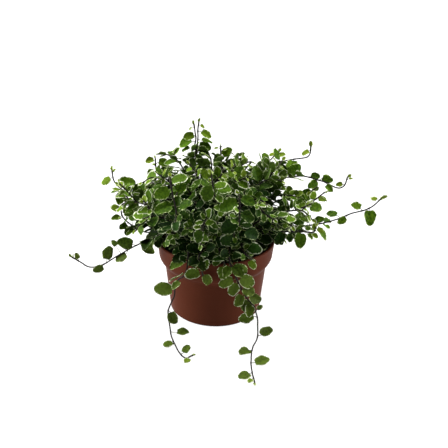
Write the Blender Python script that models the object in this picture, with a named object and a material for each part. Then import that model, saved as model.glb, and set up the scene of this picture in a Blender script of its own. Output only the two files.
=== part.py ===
"""Potted creeping fig: a variegated Ficus pumila in a 12 cm nursery pot.

The origin is the centre of the pot's underside, +Z is up and the front faces -Y.
Lengths are in millimetres up to the point where a mesh is made, which is in metres.
Every shoot is one grown piece: a stem with its twigs, leaf stalks and leaves in one solid.
"""

import math
import random
from bisect import bisect_left
from collections import namedtuple

import bmesh
import bpy
from mathutils import Matrix, Vector
from mathutils.bvhtree import BVHTree

MM = 0.001
UP = Vector((0.0, 0.0, 1.0))
FRONT = Vector((0.0, -1.0, 0.0))

# Pot
RIM_RADIUS = 60.6
POT_HEIGHT = 80.0
FOOT_RADIUS = 47.3
BODY_TOP_RADIUS = 52.9
COLLAR_Z = 54.0
SHOULDER_RADIUS = 58.7
SHOULDER_Z = 64.0
SHOULDER_START = 35.0
SHOULDER_STEPS = 4
WALL = 1.5
LIP = 0.8
POT_SIDES = 40
DRAIN_HOLES = 8
DRAIN_HOLE_RADIUS = 2.4
DRAIN_CIRCLE_RADIUS = 36.0

# Soil
SOIL_TOP = 66.0
GAP = 0.3
SOIL_GAP = 0.8

# Gaps over the soil that stay free of leaves, so that water gets in: low and high corners
WATERING_GAPS = (
    ((-10.0, 45.0, 67.0), (10.0, 54.0, 79.0)),
    ((45.0, -10.0, 67.0), (54.0, 10.0, 79.0)),
    ((-54.0, -8.0, 67.0), (-45.0, 8.0, 79.0)),
    ((-8.0, -54.0, 67.0), (8.0, -45.0, 79.0)),
)

# Stems and twigs
STEM_RADII = (0.85, 0.4)
TWIG_RADII = (0.6, 0.35)
STEM_CLEAR = 0.5
LOWEST_STEM = 1.6
ROUTE_STEP = 1.0
RING_SPACING = 15.0
JOINT_HALF = 1.0
FIRST_LEAF = 2.5
TIP_CONE = 0.8
TIP_INTERNODE = 0.6
INTERNODE_SCATTER = 0.8
YOUNGEST_SIZE = 0.42
YOUNG_LENGTH = 26.0
STALK = 3.6
BARE_SHARE = (0.22, 0.34)
TWIG_START = 2.2
TWIG_FREE = 4.0
TWIG_BARE = 5.0
TWIG_INTERNODE = 7.0
TWIG_LENGTH = (20.0, 32.0)
TWIG_SIZE = 0.88
TWIG_FEET = (0.3, 0.85)
TWIG_TRIES = 40

# Leaves
LEAF_LENGTH = 15.5
LEAF_WIDTH = 0.78
LEAF_DEPTH = 0.6
STALK_WIDTH = 0.8
STALK_DEPTH = 0.45
STALK_FREE = 0.45
LEAF_RINGS = ((0.30, 0.46), (0.68, 0.43))
LEAF_TRIES = 18
CLEAR = 0.7
LOW_LEAF = 10.0
LOW_LEAF_RISE = 0.14
NEAR = 4.0

# A leaf that is placed by hand: how far back from the stem's tip it stands, the length of its
# stalk and of its blade, and how far each is turned from the stem's own way, counterclockwise
# as the front sees it. A blade with a facing of 0 looks up, and one of 90 looks to the front.
Placed = namedtuple("Placed", "back stalk stalk_turn length turn facing")

# A twig that is placed by hand: the number of the leaf, counted from the stem's tip, beside
# which it leaves the stem, the points of its route and its placed leaves.
Twig = namedtuple("Twig", "joint points leaves")

# Shoots whose routes are chosen one by one. Each has its leaf size (1 is LEAF_LENGTH), its
# internode, the side of its last leaf, the (x, y) of its root, the points of its route, the
# leaves placed by hand near its tip, and its twigs.
Chosen = namedtuple("Chosen", "name size internode side root points leaves twigs", defaults=((), ()))
CHOSEN_SHOOTS = (
    Chosen("long_shoot_left", 1.1, 9.0, 1, (-27, -7),
           ((-43, -14, 90), (-66, -18, 84), (-82, -23, 78), (-97, -26, 70), (-112, -29, 61),
            (-125, -32, 59), (-134, -33, 65), (-142, -34, 71)),
           ((7, 2.5, -60, 7.5, -15, 35), (34, 2.5, 50, 12.5, -15, 85), (38, 4, -100, 14, -130, 90),
            (55, 10, -85, 7.5, -85, 45), (63, 5, 30, 14, -10, 30), (73, 4.5, -30, 17, -25, 50),
            (79, 2.5, 110, 14, 110, 80))),
    Chosen("low_shoot_left", 1.0, 8.0, 1, (-27, 2),
           ((-44, 4, 88), (-60, 4, 86), (-70, 3, 81), (-82, 4, 85), (-90, 5, 91), (-96, 5, 98),
            (-97, 5, 107)),
           ((2.5, 2.5, 45, 9.5, 75, 60), (5, 2.5, -50, 9, -85, 45), (10, 2.5, 70, 9.5, 65, 25),
            (18, 2.5, 95, 9, 70, 60), (22, 2.5, 130, 10, 95, 70))),
    Chosen("upper_shoot_left", 1.0, 8.5, 1, (-17, 8),
           ((-32, 8, 88), (-58, 8, 99), (-73, 13, 110), (-88, 18, 118), (-97, 20, 121), (-105, 23, 129),
            (-107, 24, 140)),
           ((7, 3, 95, 11, 110, 40), (15.5, 3, -105, 17, -125, 35), (24, 2.5, 95, 13.5, 110, 90),
            (33, 4.5, -80, 13.5, -140, 75), (40.5, 3, 100, 12, 80, 60))),
    Chosen("rear_shoot_left", 0.95, 8.5, 1, (-14, 17),
           ((-30, 24, 98), (-54, 33, 121), (-59, 45, 129), (-64, 49, 134), (-65, 51, 143)),
           ((2.5, 2.5, 45, 9, 100, 50), (5.5, 4.5, -55, 11.5, -105, 60), (10.5, 5.5, 65, 9, 130, 60),
            (16.5, 3, -60, 11, -105, 40))),
    Chosen("tall_shoot_left", 0.85, 9.0, -1, (-8, 10),
           ((-14, 14, 95), (-24, 22, 127), (-26, 28, 147), (-22, 32, 158), (-23, 33, 165), (-22, 34, 173),
            (-24, 36, 187)),
           ((2.5, 2.5, 105, 4, 110, 30), (12.5, 2.5, 45, 11, 100, 65), (18, 4, 90, 14.5, 125, 35),
            (25.5, 6.5, 60, 8.5, 105, 10))),
    Chosen("tall_shoot_right", 0.85, 9.0, 1, (-3, 14),
           ((-7, 18, 100), (-17, 24, 126), (-22, 30, 148), (-21, 34, 159), (-20, 36, 171), (-20, 38, 180),
            (-19, 39, 188)),
           ((3, 2.5, -60, 5, -125, 30), (9, 4, -90, 11.5, -125, 40), (17.5, 4, -90, 11.5, -105, 5),
            (24.5, 2.5, -55, 12.5, -95, 60), (30, 2.5, -105, 10.5, -85, 45))),
    Chosen("top_shoot", 0.95, 8.5, 1, (5, 11),
           ((6, 22, 105), (5, 31, 135), (4, 34, 152), (3, 36, 164)),
           ((2.5, 2.5, 60, 4.5, 95, 20), (5, 2.5, -60, 4.5, -80, 20), (11, 2.5, -50, 11.5, -60, 60))),
    Chosen("upper_shoot_right", 1.1, 8.5, 1, (14, 15),
           ((26, 24, 98), (39, 30, 121), (47, 38, 134), (60, 46, 139), (71, 51, 143), (81, 54, 144),
            (94, 57, 145), (98, 58, 150), (98, 58, 157)),
           ((3.5, 2.5, 130, 8.5, 115, 30), (27, 2.5, -135, 17.5, -115, 85), (49.5, 2.5, -50, 15, -65, 80),
            (60, 3, 70, 13, 60, 60))),
    Chosen("rear_shoot_right", 0.95, 8.5, 1, (11, 24),
           ((26, 38, 100), (41, 55, 118), (54, 68, 133), (66, 75, 144)),
           ((3, 2.5, 130, 6, 150, 30), (5.5, 2.5, -50, 9, -35, 25), (17, 2.5, 60, 11, 45, 60))),
    Chosen("arching_shoot_right", 1.1, 9.0, -1, (21, 7),
           ((31, 12, 98), (39, 15, 120), (52, 22, 132), (69, 27, 134), (89, 30, 135), (104, 30, 131),
            (114, 29, 128), (122, 28, 124), (128, 28, 123), (132, 28, 127), (134, 28, 135)),
           ((2.5, 2.5, -50, 4, -65, 20), (8.5, 2.5, 130, 8, 160, 50), (29.5, 2.5, -50, 11.5, 10, 50),
            (38, 5, 45, 12.5, -20, 70), (42, 2.5, -60, 11.5, -125, 50), (49, 3.5, 65, 10, 5, 75),
            (70.5, 2.5, 50, 16.5, 25, 50), (77, 2.5, -90, 17, -160, 75)),
           (Twig(4, ((104, 28, 126), (98, 26, 119)), ((2.5, 2.5, -45, 16.5, 5, 85),)),)),
    Chosen("middle_shoot_right", 1.15, 8.0, 1, (26, 3),
           ((41, 9, 96), (56, 10, 112), (70, 10, 119), (82, 12, 121)),
           ((2.5, 2.5, -50, 13, -60, 75), (9, 2.5, 60, 10, 75, 50), (17, 2.5, -70, 14, -85, 80))),
    Chosen("long_shoot_right", 1.1, 9.5, -1, (31, -4),
           ((44, -5, 86), (60, -5, 90), (82, -5, 94), (105, -5, 98), (121, -5, 103), (136, -5, 110),
            (153, -5, 116), (164, -5, 127)),
           ((2.5, 3, 130, 7, 115, 50), (15.5, 2.5, -125, 15.5, -115, 90), (23.5, 4, 90, 10.5, 145, 55),
            (39, 3, -130, 10, -165, 70), (46, 5, 115, 11, 145, 30), (72.5, 4, 75, 9.5, 10, 55),
            (78, 5, 85, 12, 150, 15), (84, 2.5, -130, 9.5, -150, 80))),
    Chosen("low_shoot_right", 1.05, 8.0, 1, (28, -12),
           ((43, -15, 89), (58, -18, 96), (69, -22, 97), (81, -24, 99), (91, -26, 99), (96, -26, 99),
            (98, -26, 105)),
           ((2.5, 2.5, -50, 7, -110, 55), (5, 2.5, 50, 6, 20, 55), (19.5, 2.5, -75, 15.5, -85, 90),
            (29, 2.5, -115, 9, -95, 60), (35, 2.5, -135, 13.5, -110, 80))),
    Chosen("trailing_shoot_left", 1.05, 14.0, 1, (-14, -20),
           ((-22, -38, 90), (-26, -55, 90), (-27, -66, 80), (-30, -65, 70), (-36, -62, 64),
            (-39, -61, 56), (-40, -60, 44), (-46, -59, 27), (-45, -59, 10), (-43, -67, 2), (-39, -80, 2),
            (-33, -96, 2), (-27, -103, 2), (-21, -99, 2)),
           ((4.5, 2.5, -110, 8, -150, 20), (15.5, 4, 70, 10, 125, 20), (39.5, 2.5, -50, 12, -55, 15),
            (52, 7, 65, 12, 70, 15), (76, 3, 60, 14, 20, 60), (104, 3.5, -50, 18, -90, 45),
            (116, 2.5, 50, 12.5, -10, 15))),
    Chosen("trailing_shoot_right", 1.05, 13.0, 1, (10, -22),
           ((14, -40, 90), (13, -58, 94), (13, -67, 88), (17, -67, 78), (21, -66, 66), (26, -64, 54),
            (32, -61, 42), (38, -60, 34), (42, -60, 20), (43, -60, 8), (42, -70, 2), (37, -86, 2),
            (35, -104, 2), (35, -120, 2), (37, -138, 2)),
           ((6, 2.5, -50, 7, -35, 15), (14, 3.5, -70, 13, -50, 15), (29, 4, 85, 14.5, 105, 15),
            (49, 3, -60, 14, -25, 15), (73, 4, 95, 14, 140, 20), (94, 4.5, -130, 15.5, -90, 85),
            (101, 4.5, -130, 17, -145, 50), (105, 2.5, 55, 6.5, 90, 50), (112, 3.5, -100, 14, -60, 60),
            (122, 4.5, 45, 15, 15, 50), (127.5, 2.5, -80, 13, -60, 60), (135, 3, 45, 15, 10, 60),
            (145, 3, -50, 14, -40, 70), (148, 4, -85, 14.5, -100, 80), (151.5, 7, 45, 18, 30, 65),
            (161, 2.5, 95, 18, 25, 85), (166.5, 3.5, -80, 13.5, -85, 40))),
    Chosen("front_shoot_left", 1.0, 7.5, 1, (-5, -24),
           ((-9, -42, 88), (-16, -62, 90), (-14, -67, 83), (-12, -66, 71)),
           ((2.5, 3, 45, 12.5, 10, 50), (6.5, 3, -75, 14.5, -85, 80), (9, 2.5, 105, 10, 160, 60),
            (12.5, 2.5, -115, 8.5, -135, 60))),
    Chosen("front_shoot_middle", 1.0, 7.5, 1, (2, -24),
           ((2, -42, 88), (5, -58, 91), (7, -66, 89), (9, -68, 83)),
           ((2.5, 3.5, -45, 13, -15, 50), (5, 2.5, 70, 9, 70, 60), (8.5, 3, 135, 16, -130, 75))),
    Chosen("front_shoot_right", 1.0, 8.5, 1, (21, -20),
           ((26, -34, 86), (21, -54, 96), (25, -60, 96), (29, -64, 93), (34, -64.5, 89)),
           ((2.5, 3, -45, 9.5, -30, 80), (10.5, 6.5, 115, 15, 35, 45), (15, 4, 135, 9, -130, 35))),
    Chosen("dome_shoot_left", 1.0, 8.5, 1, (-24, -12),
           ((-28, -24, 96), (-38, -44, 112), (-37, -62, 136), (-40, -62, 153), (-42, -60, 164),
            (-43, -56, 168)),
           ((2.5, 2.5, -135, 15, -85, 25), (8.5, 5.5, -135, 10.5, -80, 60), (11.5, 3, 80, 15, 105, 60),
            (27, 3.5, 85, 16.5, 95, 30), (33.5, 5, -135, 13, -145, 70))),
    Chosen("dome_shoot_low", 1.0, 8.0, 1, (-10, -14),
           ((-12, -30, 96), (-9, -50, 116), (-8, -66, 131), (-12, -73, 129), (-12, -74, 123)),
           ((2.5, 3.5, -45, 13.5, -5, 80), (5, 2.5, -45, 7, -85, 35), (7.5, 2.5, 95, 8, 145, 50))),
    Chosen("dome_shoot_high", 1.0, 8.0, 1, (2, -4),
           ((2, -16, 104), (0, -36, 132), (-3, -58, 156), (-4, -60, 165), (-5, -60, 173)),
           ((2.5, 2.5, 85, 10.5, 30, 60), (7, 5.5, 130, 16, 165, 80), (11, 2.5, -110, 11, -80, 30),
            (17.5, 3.5, -90, 17, -125, 40))),
    Chosen("dome_shoot_right", 1.0, 8.5, 1, (16, -14),
           ((18, -30, 92), (21, -58, 107), (21, -66, 123), (21, -68, 139), (21, -66, 149),
            (20, -62, 154)),
           ((3, 2.5, -100, 13, -125, 40), (6.5, 2.5, 105, 17.5, 105, 45), (17, 3, -95, 13, -125, 65),
            (24.5, 3, 135, 18, 125, 70), (35, 7, -105, 15, -130, 60), (40, 4.5, 135, 17.5, 125, 75))),
)

# Shoots of the dense dome, in tiers. Each has its count, the azimuth of the first, the radii of
# root and tip, the height over the soil, the droop of the tip, the share of its reach that is
# missing at the front, where the rim shows, and the twigs on each shoot.
Tier = namedtuple("Tier", "name count first root_radius tip_radius top droop front twigs")
DOME_TIERS = (
    Tier("skirt_shoot", 12, 8.0, 37.0, 69.0, 33.0, 13.0, 0.3, 1),
    Tier("lower_shoot", 11, 22.0, 29.0, 81.0, 56.0, 9.0, 0.2, 2),
    Tier("upper_shoot", 8, 5.0, 19.0, 60.0, 79.0, 5.0, 0.12, 2),
    Tier("crown_shoot", 5, 40.0, 9.0, 30.0, 92.0, 0.0, 0.12, 1),
)
# How radius and height grow along a dome shoot
DOME_REACH = (0.15, 0.5, 0.82, 1.0)
DOME_RISE = (0.55, 0.92, 1.0, 1.0)
# The dome spreads further to the sides.
SIDE_SPREAD = 0.16
DOME_TRIES = 30
DOME_INTERNODE = 9.6
DOME_LEAF_SIZE = (0.96, 1.16)


def material(name, colour, roughness):
    surface = bpy.data.materials.new(name)
    surface.use_nodes = True
    shader = surface.node_tree.nodes["Principled BSDF"]
    shader.inputs["Base Color"].default_value = (*colour, 1.0)
    shader.inputs["Roughness"].default_value = roughness
    shader.inputs["Metallic"].default_value = 0.0
    surface.diffuse_color = (*colour, 1.0)
    return surface


def add_object(name, vertices, faces, surface):
    mesh = bpy.data.meshes.new(name)
    mesh.from_pydata([Vector(v) * MM for v in vertices], [], faces)
    mesh.materials.append(surface)
    mesh.shade_smooth()
    mesh.set_sharp_from_angle(angle=math.radians(35.0))
    made = bpy.data.objects.new(name, mesh)
    bpy.context.scene.collection.objects.link(made)
    return made


def turned(profile, sides):
    """A body turned round Z from a profile that runs from the axis below to the axis above."""
    vertices = []
    faces = []
    for radius, z in profile:
        for k in range(sides):
            angle = 2.0 * math.pi * k / sides
            vertices.append((radius * math.cos(angle), radius * math.sin(angle), z))
    for ring in range(len(profile) - 1):
        low = ring * sides
        for k in range(sides):
            after = (k + 1) % sides
            faces.append((low + k, low + after, low + sides + after, low + sides + k))
    faces.append(tuple(range(sides))[::-1])
    last = (len(profile) - 1) * sides
    faces.append(tuple(range(last, last + sides)))
    return vertices, faces


# --- Pot and soil ---------------------------------------------------------------------------

def outer_wall():
    """(radius, z) up the outside of the pot: foot, tapered body, round shoulder, collar."""
    shoulder = []
    start = math.radians(SHOULDER_START)
    for k in range(SHOULDER_STEPS + 1):
        turn = start + (math.pi / 2 - start) * k / SHOULDER_STEPS
        out = (math.sin(turn) - math.sin(start)) / (1.0 - math.sin(start))
        down = math.cos(turn) / math.cos(start)
        shoulder.append((BODY_TOP_RADIUS + (SHOULDER_RADIUS - BODY_TOP_RADIUS) * out,
                         SHOULDER_Z - (SHOULDER_Z - COLLAR_Z) * down))
    foot = [(FOOT_RADIUS - LIP, 0.0), (FOOT_RADIUS, LIP)]
    rim = [(RIM_RADIUS - 0.3, POT_HEIGHT - 3.0 * LIP), (RIM_RADIUS, POT_HEIGHT - LIP),
           (RIM_RADIUS - LIP, POT_HEIGHT)]
    return foot + shoulder + rim


def inner_wall():
    """(radius, z) down the inside of the pot, one wall thickness in from the outside."""
    inside = [(RIM_RADIUS - LIP - WALL, POT_HEIGHT)]
    for radius, z in outer_wall()[-3:1:-1]:
        inside.append((radius - WALL, z))
    inside.append((FOOT_RADIUS - WALL, WALL))
    return inside


def make_pot():
    vertices, faces = turned(outer_wall() + inner_wall(), POT_SIDES)
    pot = add_object("pot", vertices, faces, material("terracotta plastic", (0.27, 0.085, 0.045), 0.5))
    cutter = bmesh.new()
    for k in range(DRAIN_HOLES):
        made = bmesh.ops.create_cone(cutter, cap_ends=True, segments=8, depth=6.0 * WALL * MM,
                                     radius1=DRAIN_HOLE_RADIUS * MM, radius2=DRAIN_HOLE_RADIUS * MM)
        angle = 2.0 * math.pi * k / DRAIN_HOLES
        place = Vector((math.cos(angle), math.sin(angle), 0.0)) * DRAIN_CIRCLE_RADIUS * MM
        bmesh.ops.translate(cutter, verts=made["verts"], vec=place)
    mesh = bpy.data.meshes.new("drain_holes")
    cutter.to_mesh(mesh)
    cutter.free()
    holes = bpy.data.objects.new("drain_holes", mesh)
    holes.hide_render = True
    holes.display_type = "WIRE"
    bpy.context.scene.collection.objects.link(holes)
    cut = pot.modifiers.new("drain_holes", "BOOLEAN")
    cut.operation = "DIFFERENCE"
    cut.solver = "EXACT"
    cut.object = holes


def make_soil():
    """The root ball fills the pot, a little clear of its wall and floor."""
    inside = [(radius - SOIL_GAP, z) for radius, z in inner_wall() if z < SOIL_TOP]
    profile = [(inside[-1][0], WALL + GAP)] + inside[-2::-1]
    profile.append((SHOULDER_RADIUS - WALL - SOIL_GAP, SOIL_TOP))
    vertices, faces = turned(profile, POT_SIDES)
    add_object("soil", vertices, faces, material("potting soil", (0.018, 0.013, 0.010), 0.95))


# --- Routes of the stems --------------------------------------------------------------------

def smooth_route(points):
    """Points every ROUTE_STEP along a Catmull-Rom curve through the given points."""
    ends = [points[0] * 2 - points[1]] + points + [points[-1] * 2 - points[-2]]
    fine = [points[0].copy()]
    for k in range(1, len(ends) - 2):
        a, b, c, d = ends[k - 1:k + 3]
        pieces = max(2, int((c - b).length / ROUTE_STEP))
        for j in range(1, pieces + 1):
            t = j / pieces
            point = 0.5 * (2 * b + (c - a) * t + (2 * a - 5 * b + 4 * c - d) * t ** 2
                           + (3 * b - a - 3 * c + d) * t ** 3)
            point.z = max(point.z, LOWEST_STEM)
            fine.append(point)
    return fine


class Route:
    """A stem's centre line, read by the length along it."""

    def __init__(self, points):
        self.points = smooth_route(points)
        self.marks = [0.0]
        for before, after in zip(self.points, self.points[1:]):
            self.marks.append(self.marks[-1] + (after - before).length)
        self.length = self.marks[-1]

    def at(self, s):
        s = min(max(s, 0.0), self.length)
        k = min(max(bisect_left(self.marks, s) - 1, 0), len(self.marks) - 2)
        share = (s - self.marks[k]) / (self.marks[k + 1] - self.marks[k])
        return self.points[k].lerp(self.points[k + 1], share)

    def tangent(self, s):
        return (self.at(s + 2.0) - self.at(s - 2.0)).normalized()


def outward(point):
    return Vector((point.x, point.y, 0.0)).normalized()


def dome_points(tier, number, rng):
    azimuth = math.radians(tier.first + 360.0 * (number + rng.uniform(-0.3, 0.3)) / tier.count)
    root_radius = tier.root_radius + rng.uniform(-3.0, 3.0)
    spread = 1.0 + SIDE_SPREAD * math.cos(azimuth) ** 2 + tier.front * min(0.0, math.sin(azimuth))
    tip_radius = tier.tip_radius * spread * rng.uniform(0.86, 1.12)
    top = tier.top * rng.uniform(0.86, 1.1)
    bend = math.radians(rng.uniform(-16.0, 16.0))
    points = []
    for reach, rise in zip((0.0,) + DOME_REACH, (0.0,) + DOME_RISE):
        turn = azimuth + bend * reach
        radius = root_radius + (tip_radius - root_radius) * reach
        z = SOIL_TOP + GAP + top * rise
        points.append(Vector((radius * math.cos(turn), radius * math.sin(turn), z)))
    points[-1].z -= tier.droop * rng.uniform(0.4, 1.3)
    return points


def twig_points(foot, along, rng):
    """A twig's route: off the stem at an angle, then bending up and away from the pot's axis."""
    across = along.orthogonal().normalized()
    around = Matrix.Rotation(rng.uniform(0.0, 2.0 * math.pi), 3, along)
    lean = math.radians(rng.uniform(38.0, 62.0))
    way = along * math.cos(lean) + (around @ across) * math.sin(lean)
    step = rng.uniform(*TWIG_LENGTH) / 3.0
    drift = UP * 0.5 + outward(foot) * 0.5
    points = [foot]
    for bend in (0.0, 0.3, 0.45):
        way = (way + drift * bend).normalized()
        points.append(points[-1] + way * step)
    return points


# --- Stems ----------------------------------------------------------------------------------

class Stem:
    """A stem or a twig: its route, its thickness and where its leaves stand."""

    def __init__(self, name, points, size, internode, side=1, leaves=(), twig=False):
        self.name = name
        self.route = Route(points)
        self.twig = twig
        self.size = size
        self.side = side
        self.placed = [Placed(*leaf) for leaf in leaves]
        self.places = [self.route.length - leaf.back for leaf in self.placed]
        self.add_places(internode)

    def add_places(self, internode):
        """Leaf places from the last placed leaf, or the tip, back to the bare foot."""
        rng = random.Random(self.name)
        length = self.route.length
        bare = TWIG_BARE if self.twig else length * rng.uniform(*BARE_SHARE)
        s = min(self.places) - internode if self.places else length - FIRST_LEAF
        while s > bare:
            self.places.append(s)
            young = min(1.0, (length - s) / YOUNG_LENGTH)
            s -= internode * (TIP_INTERNODE + (1.0 - TIP_INTERNODE) * young)
            s -= rng.uniform(-INTERNODE_SCATTER, INTERNODE_SCATTER)

    def radius(self, s):
        foot, tip = TWIG_RADII if self.twig else STEM_RADII
        return foot + (tip - foot) * s / self.route.length

    def rings(self, extra=0.0, start=None):
        """The solid's three-cornered rings, each with its length along the stem.

        There is a close pair of rings at each leaf and some between.
        """
        if start is None:
            start = TWIG_START if self.twig else 0.0
        marks = {start, self.route.length - TIP_CONE}
        for s in self.places:
            marks.update((s - JOINT_HALF, s + JOINT_HALF))
        ordered = sorted(marks)
        for low, high in zip(ordered, ordered[1:]):
            steps = int((high - low) / RING_SPACING) + 1
            marks.update(low + (high - low) * k / steps for k in range(1, steps))
        across = Vector((1.0, 0.0, 0.0))
        made = []
        for s in sorted(mark for mark in marks if mark >= start):
            along = self.route.tangent(s) if s else UP
            across = (across - along * across.dot(along)).normalized()
            corner = across * (self.radius(s) + extra)
            turns = [Matrix.Rotation(math.radians(120.0 * k), 3, along) for k in range(3)]
            made.append((s, [self.route.at(s) + turn @ corner for turn in turns]))
        return made

    def surface(self, extra=0.0, start=None):
        """The stem alone, for other stems and for leaves to keep clear of."""
        body = Body()
        rings = self.rings(extra, start)
        last = body.ring(rings[0][1])
        for s, ring in rings[1:]:
            last = body.extend(last, ring)
        body.close(last, self.route.at(self.route.length))
        return body.vertices, body.faces


class Body:
    """A skin that grows ring by ring. Every ring has three corners."""

    def __init__(self):
        self.vertices = []
        self.faces = []

    def ring(self, corners):
        self.vertices.extend(corners)
        return list(range(len(self.vertices) - 3, len(self.vertices)))

    def extend(self, last, corners):
        new = self.ring(corners)
        for k in range(3):
            after = (k + 1) % 3
            self.faces.append((last[k], last[after], new[after]))
            self.faces.append((last[k], new[after], new[k]))
        return new

    def close(self, last, tip):
        self.vertices.append(tip)
        for k in range(3):
            self.faces.append((last[k], last[(k + 1) % 3], len(self.vertices) - 1))


class Shoot(Body):
    """One solid: a stem with its twigs, stalks and leaves."""

    def __init__(self, name, stem):
        super().__init__()
        self.name = name
        self.stems = [stem]
        self.twig_feet = []
        self.sides = {}

    def add_twig(self, twig, foot):
        self.stems.append(twig)
        self.twig_feet.append(foot)

    def build(self):
        """Make the stem, then draw each twig out of a triangle of its side."""
        main = self.stems[0]
        rings = main.rings()
        last = self.ring(rings[0][1])
        self.faces.append(tuple(last[::-1]))
        self.skin(main, last, rings)
        for twig, foot in zip(self.stems[1:], self.twig_feet):
            rings = twig.rings()
            last = self.open_side(main, foot, twig.route.tangent(TWIG_START), rings[0][1])
            self.skin(twig, self.extend(last, rings[0][1]), rings)

    def skin(self, stem, last, rings):
        for (low, before), (high, corners) in zip(rings, rings[1:]):
            start = len(self.faces)
            last = self.extend(last, corners)
            self.sides[stem.name, round((low + high) / 2, 3)] = range(start, len(self.faces))
        self.close(last, stem.route.at(stem.route.length))

    def open_side(self, stem, s, way, corners):
        """Take out the side triangle at s that looks most that way, and turn it to fit corners."""
        def looks(index):
            a, b, c = (self.vertices[v] for v in self.faces[index])
            return (b - a).cross(c - a).normalized().dot(way)

        joint = self.sides[stem.name, round(s, 3)]
        chosen = max((index for index in joint if self.faces[index]), key=looks)
        face = self.faces[chosen]
        self.faces[chosen] = None

        def misfit(turn):
            return sum((self.vertices[v] - corner).length for v, corner in zip(turn, corners))

        return min((face[turn:] + face[:turn] for turn in range(3)), key=misfit)

    def grow_leaf(self, stem, s, leaf):
        rings = leaf.rings()
        last = self.open_side(stem, s, leaf.stalk_way, rings[0])
        for corners in rings:
            last = self.extend(last, corners)
        self.close(last, leaf.tip)


# --- Leaves ---------------------------------------------------------------------------------

class Leaf:
    """A leaf's frame: where its stalk leaves the stem, where the blade starts and how it lies."""

    def __init__(self, foot, stalk_way, stalk, blade_way, normal, length):
        self.foot = foot
        self.stalk_way = stalk_way
        self.base = foot + stalk_way * stalk
        self.normal = normal
        self.way = blade_way
        self.right = normal.cross(blade_way)
        self.across_base = normal.cross(stalk_way + blade_way).normalized()
        self.length = length
        self.width = length * LEAF_WIDTH
        self.tip = self.base + blade_way * length

    def rings(self):
        """Three-cornered rings (keel, right, left) of the stalk's end and the blade."""
        edge = self.across_base * STALK_WIDTH / 2
        made = [[self.base - self.normal * STALK_DEPTH, self.base + edge, self.base - edge]]
        for share, half in LEAF_RINGS:
            middle = self.base + self.way * self.length * share
            made.append([middle - self.normal * LEAF_DEPTH, middle + self.right * half * self.width,
                         middle - self.right * half * self.width])
        return made

    def envelope(self):
        """A closed hull round stalk and blade, CLEAR larger, for keeping leaves apart."""
        start = self.foot.lerp(self.base, STALK_FREE)
        sections = [(start, 0.5), (self.base, STALK_WIDTH / 2 + CLEAR)]
        for share, half in LEAF_RINGS:
            sections.append((self.base + self.way * self.length * share, half * self.width + CLEAR))
        sections.append((self.tip + self.way * CLEAR, 0.6))
        vertices = []
        for middle, half in sections:
            vertices += [middle + self.right * half, middle + self.normal * CLEAR,
                         middle - self.right * half, middle - self.normal * (LEAF_DEPTH + CLEAR)]
        faces = [(0, 1, 2, 3), tuple(range(len(vertices) - 4, len(vertices)))]
        for ring in range(len(sections) - 1):
            low = ring * 4
            for k in range(4):
                after = (k + 1) % 4
                faces.append((low + k, low + after, low + 4 + after, low + 4 + k))
        return vertices, faces

    def surface(self):
        """The stalk and blade as modelled, for later leaves to keep away from."""
        body = Body()
        last = body.ring([self.foot] * 3)
        for corners in self.rings():
            last = body.extend(last, corners)
        body.close(last, self.tip)
        return body.vertices, body.faces


def youth_size(stem, s):
    """How far the leaf at s has grown, from the smallest at the tip to full size."""
    return YOUNGEST_SIZE + (1.0 - YOUNGEST_SIZE) * min(1.0, (stem.route.length - s) / YOUNG_LENGTH)


def free_leaf(stem, number, s, attempt):
    """The leaf at s; each further attempt swings, tilts and shrinks it a little more."""
    rng = random.Random(f"{stem.name} {number} {attempt}")
    foot = stem.route.at(s)
    along = stem.route.tangent(s)
    level = math.sqrt(max(0.0, 1.0 - along.z ** 2))
    loose = 0.28 + 0.05 * attempt
    scatter = Vector((rng.gauss(0, 1), rng.gauss(0, 1), rng.gauss(0, 0.6))) * loose
    normal = UP * (0.35 + 0.5 * level) + outward(foot) * (0.75 - 0.2 * level) + scatter
    if foot.z < LOW_LEAF:
        normal = UP + scatter * 0.25
    side = along.cross(normal).normalized() * (-stem.side if number % 2 else stem.side)
    forward = math.radians(rng.uniform(22.0, 52.0))
    if number == 0:
        forward = math.radians(72.0)
    stalk_way = (side * math.cos(forward) + along * math.sin(forward)).normalized()
    normal = (normal - stalk_way * normal.dot(stalk_way) * 0.85).normalized()
    blade_way = (stalk_way - normal * stalk_way.dot(normal)).normalized()
    grown = youth_size(stem, s)
    length = LEAF_LENGTH * stem.size * grown * rng.uniform(0.84, 1.1) * (1.0 - 0.022 * attempt)
    return Leaf(foot, stalk_way, STALK * (0.3 + 0.7 * grown), blade_way, normal, length)


def placed_leaf(stem, number, s, attempt):
    """A leaf as it was placed by hand; each further attempt turns it a little."""
    plan = stem.placed[number]
    rng = random.Random(f"{stem.name} {number} {attempt}")
    foot = stem.route.at(s)
    along = stem.route.tangent(s)
    seen_from = FRONT + UP
    axis = (seen_from - along * seen_from.dot(along)).normalized()
    swing = rng.uniform(-5.0, 5.0) * attempt
    lift = rng.uniform(-0.05, 0.08) * attempt
    stalk_way = Matrix.Rotation(math.radians(plan.stalk_turn + swing), 3, axis) @ along
    way = (Matrix.Rotation(math.radians(plan.turn + swing), 3, axis) @ along) + axis * lift
    if foot.z < LOW_LEAF:
        stalk_way.z = max(stalk_way.z, LOW_LEAF_RISE)
        way.z = max(way.z, LOW_LEAF_RISE)
    stalk_way.normalize()
    way.normalize()
    facing = math.radians(plan.facing)
    normal = UP * math.cos(facing) + FRONT * math.sin(facing)
    normal = (normal - way * normal.dot(way)).normalized()
    return Leaf(foot, stalk_way, plan.stalk, way, normal, plan.length * (1.0 - 0.02 * attempt))


# --- Plant ----------------------------------------------------------------------------------

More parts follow.
